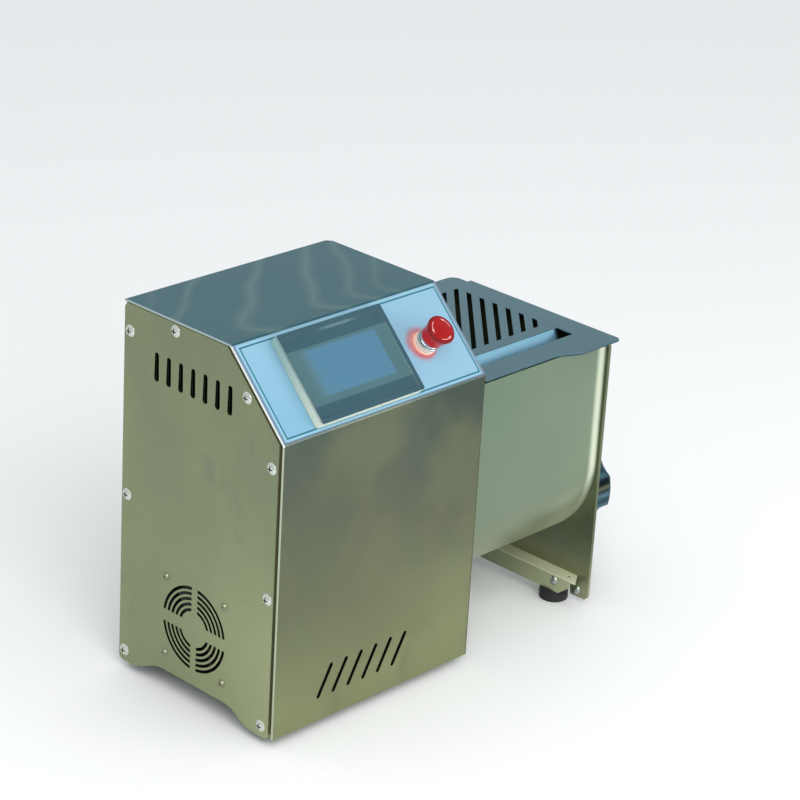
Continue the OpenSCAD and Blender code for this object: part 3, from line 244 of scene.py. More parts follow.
# %% Finish
class Finish(Graph):
    """A material with a Principled shader whose fixed values are set on its own sockets."""

    def __init__(self, name, color, roughness, metallic=0.0, **fixed):
        self.material = bpy.data.materials.new(name)
        self.material.use_nodes = True
        self.material.diffuse_color = (*color, 1.0)
        super().__init__(self.material.node_tree, "Principled BSDF")
        self.set("Base Color", (*color, 1.0))
        self.set("Roughness", roughness)
        self.set("Metallic", metallic)
        for socket, value in fixed.items():
            self.set(socket.replace("_", " "), value)

    def place(self):
        """The point being shaded, in the object's own metres."""
        return self.node("ShaderNodeTexCoord", {}, out="Object")

    def workshop(self):
        """The same point as three wires, in workshop millimetres."""
        split = self.node("ShaderNodeSeparateXYZ", {}, self.place())
        return [(Wire(self, socket) - low) / MM
                for socket, low in zip(split.socket.node.outputs, corner)]

    def panel(self):
        """The point's millimetres along the control panel, up its slope and out of it."""
        x, y, z = self.workshop()
        rise = z - bevel_z
        return x, (y + rise) * HALF_ROOT, (rise - y) * HALF_ROOT

    def noise(self, stretch, detail=2.0, roughness=0.5):
        """Noise from 0 to 1 with its own count of lumps per metre along each axis."""
        scaled = self.node("ShaderNodeVectorMath", {"operation": "MULTIPLY"}, self.place(), stretch)
        return self.node("ShaderNodeTexNoise", {}, Vector=scaled, Scale=1.0, Detail=detail,
                         Roughness=roughness)

    def ramp(self, factor, stops):
        """A colour ramp through its stops, each a place and a colour."""
        return self.node("ShaderNodeValToRGB", {"stops": stops}, factor)

    def mix(self, factor, first, second):
        """A colour between two colours or colour wires."""
        first, second = ((*c, 1.0) if isinstance(c, tuple) and len(c) == 3 else c
                         for c in (first, second))
        return self.node("ShaderNodeMix", {"data_type": "RGBA"}, factor, None, None, None, None,
                         None, first, second, out=2)

    def done(self, color, roughness=None, height=None, depth=0.0):
        """Sets the colour, gloss and relief, its depth in metres, and gives the material."""
        self.set("Base Color", color)
        if roughness is not None:
            self.set("Roughness", roughness)
        if height is not None:
            self.set("Normal", self.node("ShaderNodeBump", {}, Strength=0.5, Distance=depth,
                                         Height=height))
        return self.material


def paint(red, green, blue):
    """A colour as a screen shows it, from 0 to 255, in the shader's linear values."""
    return tuple((channel / 255) ** 2.2 for channel in (red, green, blue))


def shaded(color, share):
    """A colour with only a share of its light."""
    return tuple(channel * share for channel in color)


print("finishes ready")

# %% [markdown]
# ## Satin steel
#
# Most of the machine is stainless sheet with a satin finish. It is a metal, so its colour tints
# what it reflects. Four things keep it from looking like plain grey: a slow change of tint from its
# foot to its top, broad soft clouds where the sheet is not quite flat, a fine grain that runs one
# way, and faint wipe marks that only show in the gloss. Use then leaves warm patches and a few grey
# smudges. All of them are noise, stretched along the axes to suit each mark.

# %% Grain and wear
GRAIN = {"x": (60, 900, 900), "y": (900, 60, 900), "z": (900, 900, 60)}
GRAIN_DEPTH = 0.00002
CLOUDS = (6, 6, 5)
SMUDGE_SHADE = 0.62
SATIN_ROUGHNESS, SATIN_METAL = 0.34, 0.75


def satin_done(finish, sheet, roughness=SATIN_ROUGHNESS, grain="z"):
    """Completes satin sheet with its grain and wipe marks, in gloss and relief."""
    fibres = finish.noise(GRAIN[grain], detail=3)
    wipes = finish.noise((14, 14, 5), detail=4, roughness=0.6)
    gloss = roughness - 0.08 + wipes * 0.10 + fibres * 0.06
    return finish.done(sheet, gloss, fibres, GRAIN_DEPTH)


def handled(finish, sheet, warm, strength=1.0):
    """The sheet's colour with warm patches and the grey smudges that hands leave on it."""
    patches = fade(finish.noise((13, 13, 10), detail=3), 0.38, 0.66)
    sheet = finish.mix(patches * (0.45 * strength), sheet, warm)
    smudges = fade(finish.noise((30, 30, 16), detail=4, roughness=0.6), 0.54, 0.72)
    where = fade(finish.noise(CLOUDS, detail=1), 0.42, 0.6)
    grey = (sum(warm) / 3 * SMUDGE_SHADE,) * 3
    return finish.mix(smudges * where * (0.5 * strength), sheet, grey)


print("satin grain", round(GRAIN_DEPTH / MM, 3), "mm deep")

# %% [markdown]
# ## Three ways of making metal
#
# A sheet is rolled and brushed, a shaft is turned and a gear case is cast, and each leaves its own
# skin. The satin finish grades its tint with height. The turned one has very fine rings along X,
# which is the axis of every shaft here, and the cast one has pebbles, which suit plastic as well.

# %% Satin, turned and cast
WARMER = (1.2, 1.12, 0.98)
RING_DEPTH = 0.00001


def satin(name, foot, top, cloud=0.35, metallic=SATIN_METAL, span=(0.15, 0.85)):
    """Satin sheet metal whose tint runs from its foot to its top, with clouds in it."""
    finish = Finish(name, top, SATIN_ROUGHNESS, metallic)
    height = finish.workshop()[2] / house_h
    factor = height * (1 - cloud) + finish.noise(CLOUDS) * cloud
    sheet = finish.ramp(factor, [(span[0], foot), (span[1], top)])
    warm = tuple(channel * share for channel, share in zip(foot, WARMER))
    return satin_done(finish, handled(finish, sheet, warm, 0.5))


def turned(name, color, roughness=0.22):
    """Turned metal: very fine rings along X and a slight uneven polish."""
    finish = Finish(name, color, roughness, 1.0)
    rings = finish.noise((2500, 30, 30), detail=1)
    patches = finish.noise((60, 60, 60), detail=3)
    tint = finish.mix(rings, shaded(color, 0.8), color)
    return finish.done(tint, roughness - 0.05 + patches * 0.12, rings, RING_DEPTH)


def cast(name, color, roughness=0.55, metallic=0.8, size=700, depth=0.00008):
    """Cast metal or moulded plastic: a fine pebbled skin."""
    finish = Finish(name, color, roughness, metallic)
    pebbles = finish.noise((size, size, size), detail=3)
    patches = finish.noise((25, 25, 25))
    tint = finish.mix(patches, shaded(color, 0.8), color)
    return finish.done(tint, roughness - 0.05 + pebbles * 0.12, pebbles, depth)


print("turned rings", round(RING_DEPTH / MM, 3), "mm deep")

# %% [markdown]
# ## Left side and foot rail
#
# Two sheets change more than satin does. The left side is painted warmer and paler towards its
# lower front corner, a painted light, and the rail is painted palest along its top fold and
# towards its front end, a painted highlight, with painted shade towards its back. The walls of
# the vent slots are painted dark as shade, and the folded edges that line the seam round the side
# are painted dull and pale, as painted light in the seam's groove. A finish knows them by where
# they lie: deeper than SKIN a point has left the outer face, and up to SHEET it is still within
# the sheet.

# %% Panel and rail finish
# Painted shade for the walls of slots and cuts, and painted light for the folded edges in the seam
# round the side.
CUT_WALL_SHADE = paint(34, 38, 30)
SEAM = paint(156, 156, 124)
SKIN, SHEET, PANEL_SEAM, COVER_SEAM = 0.15, 1.7, 7.0, 8.0
rail_top = workshop_box("end_foot_rail")[1].z


def panel_finish():
    """Satin sheet with painted light, warmer and paler, towards its lower front corner."""
    finish = Finish("panel_satin", paint(126, 134, 104), SATIN_ROUGHNESS, SATIN_METAL)
    x, y, z = finish.workshop()
    out = finish.panel()[2]
    sheet = finish.ramp(z / house_h * 0.65 + finish.noise(CLOUDS) * 0.35,
                        [(0.15, paint(131, 140, 107)), (0.85, paint(120, 128, 101))])
    # Painted light: warmer and paler towards the lower front corner.
    glow = fade(y, 130.0, 10.0) * fade(z, 190.0, 60.0)
    sheet = finish.mix(glow * 0.7, sheet, paint(158, 164, 126))
    sheet = handled(finish, sheet, paint(142, 148, 108), 0.8)
    # Painted shade on the walls of the vent slots, painted light on the seam's folded edges.
    inner = (y > 7.5) * (out < -6.5) * (z < house_h - 4.5)
    sheet = finish.mix(between(x, SKIN, PANEL_SEAM) * (1 - inner), sheet, SEAM)
    return satin_done(finish, finish.mix(between(x, SKIN, SHEET) * inner, sheet, CUT_WALL_SHADE))


def rail_finish():
    """Folded rail sheet with a painted highlight along its top fold and towards its front end."""
    finish = Finish("rail_satin", paint(140, 146, 114), SATIN_ROUGHNESS, 0.45)
    y, z = finish.workshop()[1:]
    depth = y / house_d + finish.noise((7, 7, 7)) * 0.12
    # Painted shade: the side darkens towards the back, under the trough.
    side = finish.ramp(depth, [(0.1, paint(170, 176, 142)), (0.45, paint(142, 148, 116)),
                               (0.85, paint(92, 97, 76))])
    # Painted highlight along the top fold, palest at the front end.
    top = finish.ramp(depth, [(0.1, paint(254, 255, 222)), (0.8, paint(196, 200, 166))])
    fold = fade(z, rail_top - 0.99, rail_top)
    return satin_done(finish, finish.mix(fold, side, top), grain="y")


print(f"rail {rail_top:.1f} mm high")

# %% [markdown]
# ## Metals, plastics and rubber
#
# Now each metal and plastic of the machine gets its own tint and gloss. Zinc is bluish and bronze
# is warm, ground steel is brighter than cut steel, and rubber has the finest pebbles.

# %% Shared finishes
PANEL = panel_finish()
INNER = satin("inner_satin", paint(118, 126, 100), paint(128, 140, 118))
END = satin("end_plate_satin", paint(144, 148, 120), paint(95, 104, 82), cloud=0.1,
            span=(0.07, 0.18))
REAR = satin("rear_satin", paint(126, 134, 106), paint(112, 122, 104))
RAIL = rail_finish()
MILLED = satin("milled_aluminium", paint(180, 182, 184), paint(190, 192, 194), metallic=1.0)
ZINC = turned("zinc_plate", paint(176, 184, 178), roughness=0.28)
DULL_ZINC = turned("dull_zinc", paint(150, 154, 128), roughness=0.4)
GROUND = turned("ground_steel", paint(196, 198, 196))
POLISHED = turned("polished_steel", paint(200, 206, 208), roughness=0.14)
CUT = turned("cut_steel", paint(138, 142, 140), roughness=0.38)
BRONZE = turned("bronze", paint(190, 150, 97), roughness=0.3)
CAST = cast("cast_aluminium", paint(176, 178, 178))
BLACK = cast("black_plastic", paint(40, 40, 42), metallic=0.0, roughness=0.45)
GREY = cast("grey_plastic", paint(62, 64, 67), metallic=0.0, roughness=0.5)
RUBBER = cast("black_rubber", paint(32, 33, 33), metallic=0.0, roughness=0.7, size=1500)
print("shared finishes:", len(bpy.data.materials))

# %% [markdown]
# ## Dark chrome
#
# The ring nut is a buffed casting under dark chrome. Its lobes mirror the room as bright and dark
# stripes, two to a lobe, and these reflections are painted: a ramp that repeats round the nut's
# axis, so they turn with it.

# %% Chrome finish
NUT_REFLECTION_BANDS = 12
nut_low, nut_high = workshop_box("ring_nut")
nut_middle = (nut_low + nut_high) / 2


def chrome_finish():
    """Dark polished chrome with painted reflections: bright and dark stripes round its axis."""
    finish = Finish("dark_chrome", paint(110, 126, 130), 0.12, 1.0)
    uneven = finish.noise((20, 20, 20), roughness=0.6)
    x, y, z = finish.workshop()
    # Painted reflections: stripes that repeat round the nut's axis.
    reflection_band = turns(y - nut_middle.y, z - nut_middle.z) * NUT_REFLECTION_BANDS
    side = finish.ramp(fraction(uneven * 0.12 + 0.66 - reflection_band), [
        (0.0, paint(40, 64, 76)), (0.16, paint(84, 116, 132)), (0.27, paint(20, 32, 40)),
        (0.4, paint(18, 28, 34)), (0.52, paint(100, 104, 82)), (0.62, paint(36, 52, 58)),
        (0.76, paint(86, 122, 138)), (0.88, paint(52, 76, 84)), (1.0, paint(40, 64, 76))])
    face = fade(x, nut_high.x - 5, nut_high.x - 2)
    return finish.done(finish.mix(face, side, paint(66, 90, 98)), uneven * 0.1 + 0.1)


CHROME = chrome_finish()
print("ring nut", round(nut_high.y - nut_low.y, 1), "mm across")

# %% [markdown]
# ## The folded cover
#
# One folded sheet makes the front, the slope and the top. The front darkens towards its upper
# fold, a painted shade, and the bare strips of the slope are painted pale, a painted light. The
# top is painted blue-green with long pale waves, painted reflections of the sky in thin sheet
# that is not pressed quite flat: each wave runs across the top at an angle and hooks to the right
# where the fold holds the sheet. A wave is a soft ridge round a line, and the strongest of them
# wins. WAVES lists how far across each line lies, in millimetres, and how strong its wave is. A
# painted highlight runs along the rounded side rims, and a painted shadow along the right edge
# beside the trough.

# %% Waves of the top
WAVES = ((-118, 0.4), (-86, 0.9), (-42, 1.0), (1, 1.0), (27, 0.8), (51, 0.6))
WAVE_TURN = math.radians(48.1)
WAVE_REACH, WAVE_SWAY, WAVE_HOOK = 7.5, 60, 26


def wave_reflections(finish, x, y):
    """How pale the painted wave reflections make the top, from 0 between waves to 1 on a crest."""
    across = x * math.cos(WAVE_TURN) - y * math.sin(WAVE_TURN)
    behind = (y - bevel_run) / (house_d - bevel_run)
    hook = larger(1 - behind * 4, 0.0) ** 2 * WAVE_HOOK
    sway = (finish.noise((10, 10, 1), detail=0.5) - 0.5) * WAVE_SWAY
    line = across + sway - hook
    crests = [larger(1 - abs(line - centre) / WAVE_REACH, 0.0) ** 1.3 * strength
              for centre, strength in WAVES]
    total = crests[0]
    for crest in crests[1:]:
        total = larger(total, crest)
    return total


print("top with", len(WAVES), "waves")

# %% Cover finish
def front_tint(finish, x, z):
    """The front's colour, with painted light at its foot and painted shade towards the fold."""
    clouds = finish.noise(CLOUDS) - 0.5
    # Painted light pales the foot to the right; painted shade darkens the fold and the upper right.
    foot_glow = fade(x, 60.0, house_w) * fade(z, 170.0, 50.0) * 0.14
    far_shade = fade(x, 90.0, house_w) * fade(z, 80.0, 190.0) * 0.3
    front = finish.ramp(z / house_h + clouds * 0.3 - foot_glow + far_shade, [
        (0.0, paint(128, 134, 98)), (0.3, paint(101, 107, 82)), (0.55, paint(88, 93, 77)),
        (0.8, paint(71, 82, 72)), (1.0, paint(58, 70, 62))])
    return handled(finish, front, paint(112, 114, 84))


def cover_finish():
    """Satin sheet whose tint, painted light, shade and reflection, changes from front to top."""
    finish = Finish("cover_sheet", paint(110, 120, 95), 0.32, SATIN_METAL)
    x, y, z = finish.workshop()
    rise, out = finish.panel()[1:]
    # The top: blue-green with pale waves, painted reflections of the sky.
    top = finish.mix(wave_reflections(finish, x, y) * 0.55, paint(48, 95, 104), paint(96, 127, 123))
    # The bare strips of the slope are painted pale as painted light.
    slope = (out > -0.5) * fade(rise, -0.5, 2.5)
    sheet = finish.mix(slope, front_tint(finish, x, z), paint(134, 154, 174))
    sheet = finish.mix(z > house_h - 1.0, sheet, top)
    # Painted shade on the walls of the cuts in the front.
    cut = between(y, SKIN, SHEET) * (z < bevel_z - 8) * between(x, 6.0, house_w - 6)
    sheet = finish.mix(cut, sheet, CUT_WALL_SHADE)
    # The seam's folded edges are painted pale as painted light.
    seam = between(x, SHEET, COVER_SEAM) * between(y, 0.8, house_d - 8)
    sheet = finish.mix(seam * (out < -0.8) * (z < house_h - 0.8), sheet, SEAM)
    # A painted highlight along the rounded side rims.
    rim = fade(x, 1.0, 0.4) * (y < house_d - 1.0)
    bright = finish.mix(out > -0.9, paint(172, 182, 158), paint(246, 248, 244))
    bright = finish.mix(z > house_h - 1.2, bright, paint(160, 178, 180))
    sheet = finish.mix(rim, sheet, bright)
    # A painted shadow along the right edge, beside the trough.
    shade = fade(x, house_w - 1.1, house_w - 0.5) * (z < bevel_z)
    return satin_done(finish, finish.mix(shade, sheet, paint(66, 62, 46)), 0.32)


COVER = cover_finish()
print("cover finish:", len(COVER.node_tree.nodes), "nodes")

# %% [markdown]
# ## The hopper's sheet
#
# The trough is rolled from thinner, paler sheet. Beside its weld to the end plate a soft bright
# band is painted along it, from the rim right round the bottom, a painted highlight. Its top is
# painted darker as shade, and its lower part and its curve by the end plate paler as painted
# light. The lid over it is painted blue-green as the top is, a painted reflection of the sky. Its
# flap hangs in the pouring slot below the lid's underside, which lies at LID_Z, and is painted
# pale as a painted highlight, and the walls of its other slots are painted dark as shade.

# %% Trough and lid finish
LID_Z, LID_SHEET = 256.2, 1.2
end_x = workshop_box("hopper_trough")[1].x


def trough_finish():
    """Pale satin sheet with a painted highlight beside its weld, and painted light and shade."""
    finish = Finish("trough_satin", paint(130, 146, 124), SATIN_ROUGHNESS, SATIN_METAL)
    x, y, z = finish.workshop()
    clouds = finish.noise((5, 5, 4), detail=1.5)
    sheet = finish.ramp(clouds, [(0.3, paint(103, 120, 103)), (0.7, paint(122, 136, 114))])
    # Painted shade darkens the top; painted light pales the lower part.
    sheet = finish.mix(fade(z, 200.0, 250.0) * 0.5, sheet, paint(98, 114, 98))
    sheet = finish.mix(fade(z, 140.0, 40.0), sheet, paint(148, 154, 124))
    # Painted light on the curve near the end plate, low down.
    glow = fade(x, 320.0, end_x) * fade(z, 125.0, 70.0) * fade(y, 80.0, 30.0)
    sheet = finish.mix(glow * 0.95, sheet, paint(220, 230, 190))
    # The painted highlight band beside the weld.
    reflection_band = fade(abs(x - (end_x - 6)), 8.0, 1.0) * (0.6 + fade(z, 250.0, 130.0) * 0.15)
    return satin_done(finish, finish.mix(reflection_band, sheet, paint(226, 234, 208)), grain="x")


def lid_finish():
    """Blue-green satin sheet, a painted sky reflection, with a painted highlight on the flap that
    guides flour through the long slot.
    """
    finish = Finish("cover_satin", paint(70, 108, 120), 0.3, SATIN_METAL)
    x, y, z = finish.workshop()
    # Blue-green as a painted reflection of the sky.
    sheet = finish.mix(finish.noise((7, 7, 7)), paint(62, 101, 113), paint(80, 116, 126))
    slot = between(x, 200.0, end_x - 24) * between(y, 12.0, 60.0)
    # The flap is painted pale as a painted highlight.
    flap = (z < LID_Z + LID_SHEET) * (abs(z - LID_Z) > 0.08) * slot
    sheet = finish.mix(flap, sheet, paint(136, 184, 208))
    # Painted shade on the walls of the other slots.
    cut = between(z, LID_Z + 0.12, LID_Z + 1.25) * (1 - slot)
    return satin_done(finish, finish.mix(cut * 0.65, sheet, CUT_WALL_SHADE), 0.3, "x")


TROUGH = trough_finish()
LID = lid_finish()
print("trough finish up to", round(end_x, 1), "mm")

# %% [markdown]
# ## Rounded edges
#
# No sheet or block has a perfectly sharp edge, and the thin bright line along an edge is what makes
# metal look real. The frame's solids are sharp. For each one that shows, this step takes a copy,
# merges its loose triangles, joins flat neighbours and bevels the edges that are left. The Weighted
# Normal modifier then keeps the flats flat under smooth shading.

# %% Helpers for pieces
TOUCHING = 0.002 * MM
FLAT = math.radians(0.5)


def as_object(name, mesh, material, sharp=40, weighted=True):
    """Turns a bmesh into a finished object at the origin."""
    data = bpy.data.meshes.new(name)
    mesh.to_mesh(data)
    mesh.free()
    for polygon in data.polygons:
        polygon.use_smooth = True
    data.set_sharp_from_angle(angle=math.radians(sharp))
    piece = bpy.data.objects.new(name, data)
    bpy.context.scene.collection.objects.link(piece)
    piece.data.materials.append(material)
    if weighted:
        flats = piece.modifiers.new("flats", "WEIGHTED_NORMAL")
        flats.keep_sharp = True
    return piece


def merged_copy(name):
    """The node's solid as a bmesh with its triangles joined."""
    mesh = bmesh.new()
    mesh.from_mesh(nodes[name].data)
    bmesh.ops.remove_doubles(mesh, verts=mesh.verts, dist=TOUCHING)
    bmesh.ops.dissolve_limit(mesh, angle_limit=FLAT, verts=mesh.verts, edges=mesh.edges)
    return mesh


def bevel(mesh, edges, offset, segments=2):
    """Rounds the given edges by an offset in millimetres."""
    bmesh.ops.bevel(mesh, geom=edges, offset=offset * MM, offset_type="OFFSET", segments=segments,
                    profile=0.5, affect="EDGES", clamp_overlap=True, material=-1)


def sharp_edges(mesh, sharp=30):
    """Every edge that turns by more than the given angle."""
    return [e for e in mesh.edges if e.is_manifold and e.calc_face_angle(0) > math.radians(sharp)]


def standing_for(name, body, mesh, material, sharp=40):
    """Makes a piece of a bmesh, riding on a body, in place of the node of that name."""
    piece = as_object(name + "_finished", mesh, material, sharp)
    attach(piece, body)
    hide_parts(name)
    return piece


def finished(name, body, material, edge=0.3, segments=2):
    """A rounded copy of a frame node, standing for it."""
    mesh = merged_copy(name)
    if edge:
        bevel(mesh, sharp_edges(mesh), edge, segments)
    return standing_for(name, body, mesh, material)


print("helpers ready")

# %% [markdown]
# ## Sheet metal and block pieces
#
# The folded cover gets a larger round on the two long outer edges where its front, slope and top
# meet the sides, because a cut and deburred sheet edge shows there as a bright line. Everything
# else gets a round of a few tenths of a millimetre: the tables give each node's finish and round.

# %% Cover with rounded rims
HAIR = 0.01 * MM
RIM_ROUND, INNER_ROUND = 1.1, 0.2


def outer_rim(edge):
    """True for an edge of the cover's outer face along its left or right side."""
    low, high = corner.x + HAIR, cover_high.x - HAIR
    along_side = all(v.co.x < low for v in edge.verts) or all(v.co.x > high for v in edge.verts)
    middle = (edge.verts[0].co + edge.verts[1].co) / 2 - corner
    front, back = middle.y, cover_high.y - corner.y - middle.y
    top = house_h * MM - middle.z
    slope = (middle.y + bevel_z * MM - middle.z) * HALF_ROOT
    return along_side and min(front, top, slope) < HAIR and back > HAIR


cover_mesh = merged_copy("main_cover")
rim = [e for e in sharp_edges(cover_mesh) if outer_rim(e)]
bevel(cover_mesh, rim, RIM_ROUND, segments=3)
bevel(cover_mesh, sharp_edges(cover_mesh, 50), INNER_ROUND, segments=1)
standing_for("main_cover", "housing", cover_mesh, COVER)
print("rim edges rounded:", len(rim))

# %% Rounded pieces
HOUSING = {
    "inner_side_panel": (INNER, 0.35), "rear_panel": (REAR, 0.25), "base_plate": (REAR, 0.25),
    "end_plate": (END, 0.4), "hopper_trough": (TROUGH, 0.3), "end_foot_rail": (RAIL, 0.3),
    "left_foot_rail": (RAIL, 0.3), "hinge_leaves": (GROUND, 0.3), "switch_frame": (BLACK, 0.25),
    "fan_frame": (BLACK, 0.3), "touchscreen_case": (BLACK, 0.5),
    "stop_contact_block": (GREY, 0.5), "gearbox": (CAST, 0.6), "bearing_plate": (MILLED, 0.4),
    "bearing_blocks": (CAST, 0.5), "power_supply": (MILLED, 0.4),
    "extruder_barrel": (GROUND, 0.4), "barrel_flange": (GROUND, 0.4),
    "barrel_screws": (ZINC, 0.3), "shaping_die": (BRONZE, 0.3), "mixer_end_bush": (BRONZE, 0.4),
    "shaft_seals": (RUBBER, 0.3), "inner_panel_screws": (ZINC, 0.12),
    "end_plate_screws": (ZINC, 0.12), "rail_screws": (ZINC, 0.12),
    "fan_screws": (DULL_ZINC, 0.12), "cover_buffers": (RUBBER, 0.3), "foot_bolts": (ZINC, 0.2),
}
MOVING = {
    "hopper_cover": ("cover", LID, 0.3), "cover_knuckles": ("cover", GROUND, 0.3),
    "ring_nut": ("nut", CHROME, 0.8), "mixing_paddles": ("mixer", POLISHED, 0.5),
    "mixer_shaft": ("mixer", GROUND, 0.4), "mixer_gear": ("mixer", CUT, 0.2),
    "drive_gear": ("auger_drive", CUT, 0.2), "drive_sleeve": ("auger_drive", GROUND, 0.4),
    "auger_screw": ("auger_drive", POLISHED, 0), "fan_impeller": ("fan", GREY, 0.2),
}
for name, (material, edge) in HOUSING.items():
    finished(name, "housing", material, edge)
for name, (body, material, edge) in MOVING.items():
    finished(name, body, material, edge)
print("rounded:", len(HOUSING) + len(MOVING), "nodes")

# %% [markdown]
# ## Side slots
#
# Punching rounds the mouth of a vent slot over, so a slot reads wider than it was cut. Each slot of
# the left panel is opened a little about its own middle before the panel's edges are rounded. Its
# corners are those that lie within SLOT_REACH of that middle, in depth, width and height.

# %% Left side panel
SLOTS, SLOT_START, SLOT_PITCH, SLOT_HEIGHT = 7, 63.4, 14.7, 270.0
SLOT_REACH = (2, 3, 14)
SLOT_OPENING = (1, 1.22, 1.06)


def slot_corners(mesh, middle):
    """The mesh's corners that lie round one slot's middle."""
    return [v for v in mesh.verts
            if all(abs(gap) < reach * MM for gap, reach in zip(v.co - middle, SLOT_REACH))]


panel = merged_copy("left_side_panel")
for slot in range(SLOTS):
    middle = at(0, SLOT_START + slot * SLOT_PITCH, SLOT_HEIGHT)
    corners = slot_corners(panel, middle)
    bmesh.ops.scale(panel, vec=SLOT_OPENING, verts=corners, space=Matrix.Translation(-middle))
    print("slot", slot + 1, "with", len(corners), "corners")
bevel(panel, sharp_edges(panel), 0.12)
standing_for("left_side_panel", "housing", panel, PANEL)

# %% [markdown]
# ## Panel screws
#
# The domed heads of the panel screws catch the light and their cross recess is painted dark as
# shade. Each screw is one island of its node. Walking over linked vertices finds the islands, and
# the head of each is drawn a little wider about its own axis, to the size of a pan head with its
# flange. Faces near the axis that look sideways or lie deep in the head belong to the recess.

# %% Screw heads
HEAD = turned("plated_steel", paint(214, 220, 208), roughness=0.24)
SHADED_RECESS = turned("recess_shade", paint(66, 72, 64), roughness=0.5)
HEAD_WIDTH = 1.2
RECESS_RADIUS, RECESS_DEPTH = 2.9 * MM, 1.3 * MM


def islands(mesh):
    """Groups of linked vertices, one for each separate screw."""
    left, groups = set(mesh.verts), []
    while left:
        group, edge = set(), [left.pop()]
        while edge:
            vert = edge.pop()
            group.add(vert)
            fresh = {e.other_vert(vert) for e in vert.link_edges} & left
            left -= fresh
            edge += fresh
        groups.append(group)
    return groups


def in_recess(face, middle):
    """True for a face of the cross recess of the screw with this middle."""
    spot = face.calc_center_median()
    near = (Vector((0, spot.y, spot.z)) - middle).length < RECESS_RADIUS
    return near and (face.normal.x > -0.5 or spot.x > corner.x - RECESS_DEPTH)


screws = merged_copy("left_panel_screws")
for island in islands(screws):
    ys, zs = [v.co.y for v in island], [v.co.z for v in island]
    middle = Vector((0, (min(ys) + max(ys)) / 2, (min(zs) + max(zs)) / 2))
    heads = [v for v in island if v.co.x < corner.x + HAIR]
    bmesh.ops.scale(screws, vec=(1, HEAD_WIDTH, HEAD_WIDTH), verts=heads,
                    space=Matrix.Translation(-middle))
    for face in {f for v in heads for f in v.link_faces}:
        # Faces of the recess take the painted shade.
        face.material_index = int(in_recess(face, middle))
bevel(screws, sharp_edges(screws), 0.12)
piece = standing_for("left_panel_screws", "housing", screws, HEAD)
piece.data.materials.append(SHADED_RECESS)
print("panel screws:", sum(p.material_index for p in piece.data.polygons), "recess faces")

# %% [markdown]
# ## Spun pieces
#
# A turned or moulded round piece is easiest as a profile spun about its own axis, as on a lathe.
# `spun` takes the profile as pairs of radius and height in millimetres, spins it in as many steps
# as the size deserves, closes the seam and the pole, and turns the faces outwards. A matrix puts it
# in its place, so the object itself stays at the origin.

# %% Spin a profile
def spun(profile, place, steps):
    """A closed profile of (radius, height) spun about Z, then put in its place."""
    mesh = bmesh.new()
    verts = [mesh.verts.new((radius * MM, 0, height * MM)) for radius, height in profile]
    for first, second in zip(verts, verts[1:] + verts[:1]):
        if first.co.x > 0 or second.co.x > 0:
            mesh.edges.new((first, second))
    bmesh.ops.spin(mesh, geom=mesh.verts[:] + mesh.edges[:], cent=(0, 0, 0), axis=(0, 0, 1),
                   angle=math.tau, steps=steps, use_merge=True)
    bmesh.ops.remove_doubles(mesh, verts=mesh.verts, dist=0.001 * MM)
    bmesh.ops.recalc_face_normals(mesh, faces=mesh.faces)
    bmesh.ops.transform(mesh, matrix=place, verts=mesh.verts)
    return mesh


def arc(radius, height, bend, start, end, count):
    """Points on a rounded corner of a profile, with its middle at (radius, height)."""
    angles = [math.radians(start + (end - start) * i / count) for i in range(count + 1)]
    return [(radius + bend * math.cos(a), height + bend * math.sin(a)) for a in angles]


print("lathe ready")

# %% [markdown]
# ## Rubber feet
#
# Each foot is a turned block of rubber with a rolled lower edge, the fine line where its mould
# parted, and one groove near its top. Both catch a little light on the black. A foot is spun once
# for each corner and all four join in one piece.

# %% Feet
FOOT = [(2.7, 3.0), (6.5, 3.0), (6.5, 0.4), (6.9, 0.0)] + arc(12.1, 1.2, 1.2, -90, 0, 5) + [
    (13.3, 5.4), (13.15, 5.6), (13.15, 5.8), (13.3, 6.0), (13.3, 7.7), (12.8, 8.1), (12.6, 8.5),
    (12.6, 9.2), (12.8, 9.6), (13.3, 9.9), (13.3, 11.1), (13.1, 11.5), (12.7, 11.7), (2.7, 11.7)]
foot_radius = max(radius for radius, height in FOOT) * MM
feet_low, feet_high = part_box("rubber_feet")
feet = bmesh.new()
for x in (feet_low.x + foot_radius, feet_high.x - foot_radius):
    for y in (feet_low.y + foot_radius, feet_high.y - foot_radius):
        one = spun(FOOT, Matrix.Translation((x, y, feet_low.z)), 64)
        part = bpy.data.meshes.new("foot")
        one.to_mesh(part)
        one.free()
        feet.from_mesh(part)
        bpy.data.meshes.remove(part)
standing_for("rubber_feet", "housing", feet, RUBBER)
print("feet", round((feet_high.z - feet_low.z) / MM, 1), "mm high")

# %% [markdown]
# ## The printed film
#
# A thin polyester film is stuck to the slope. It is printed pale blue from behind, with one teal
# border line that keeps the same distance from its edge, and it has the soft gloss of a coated
# plastic. The red light that the stop button reflects onto the film beside it is painted on.
# All of it is worked out in millimetres along the panel, so it stays where it is when the film is
# seen from any side. BORDER is a rectangle: the line's lowest and highest measure along the panel,
# then up the slope.

# %% Film finish
BORDER = (6.2, 228.3, 4.6, 86.7)
film_low, film_high = (edge.x for edge in workshop_box("control_overlay"))
stop_place = Vector(joints["stop_twist"]["pos_m"]) - corner
stop_along, stop_up = stop_place.x / MM, stop_place.y / MM / HALF_ROOT


def outside(x, y, low_x, high_x, low_y, high_y):
    """How far a point lies outside an upright rectangle; inside it is negative."""
    return larger(larger(low_x - x, x - high_x), larger(low_y - y, y - high_y))


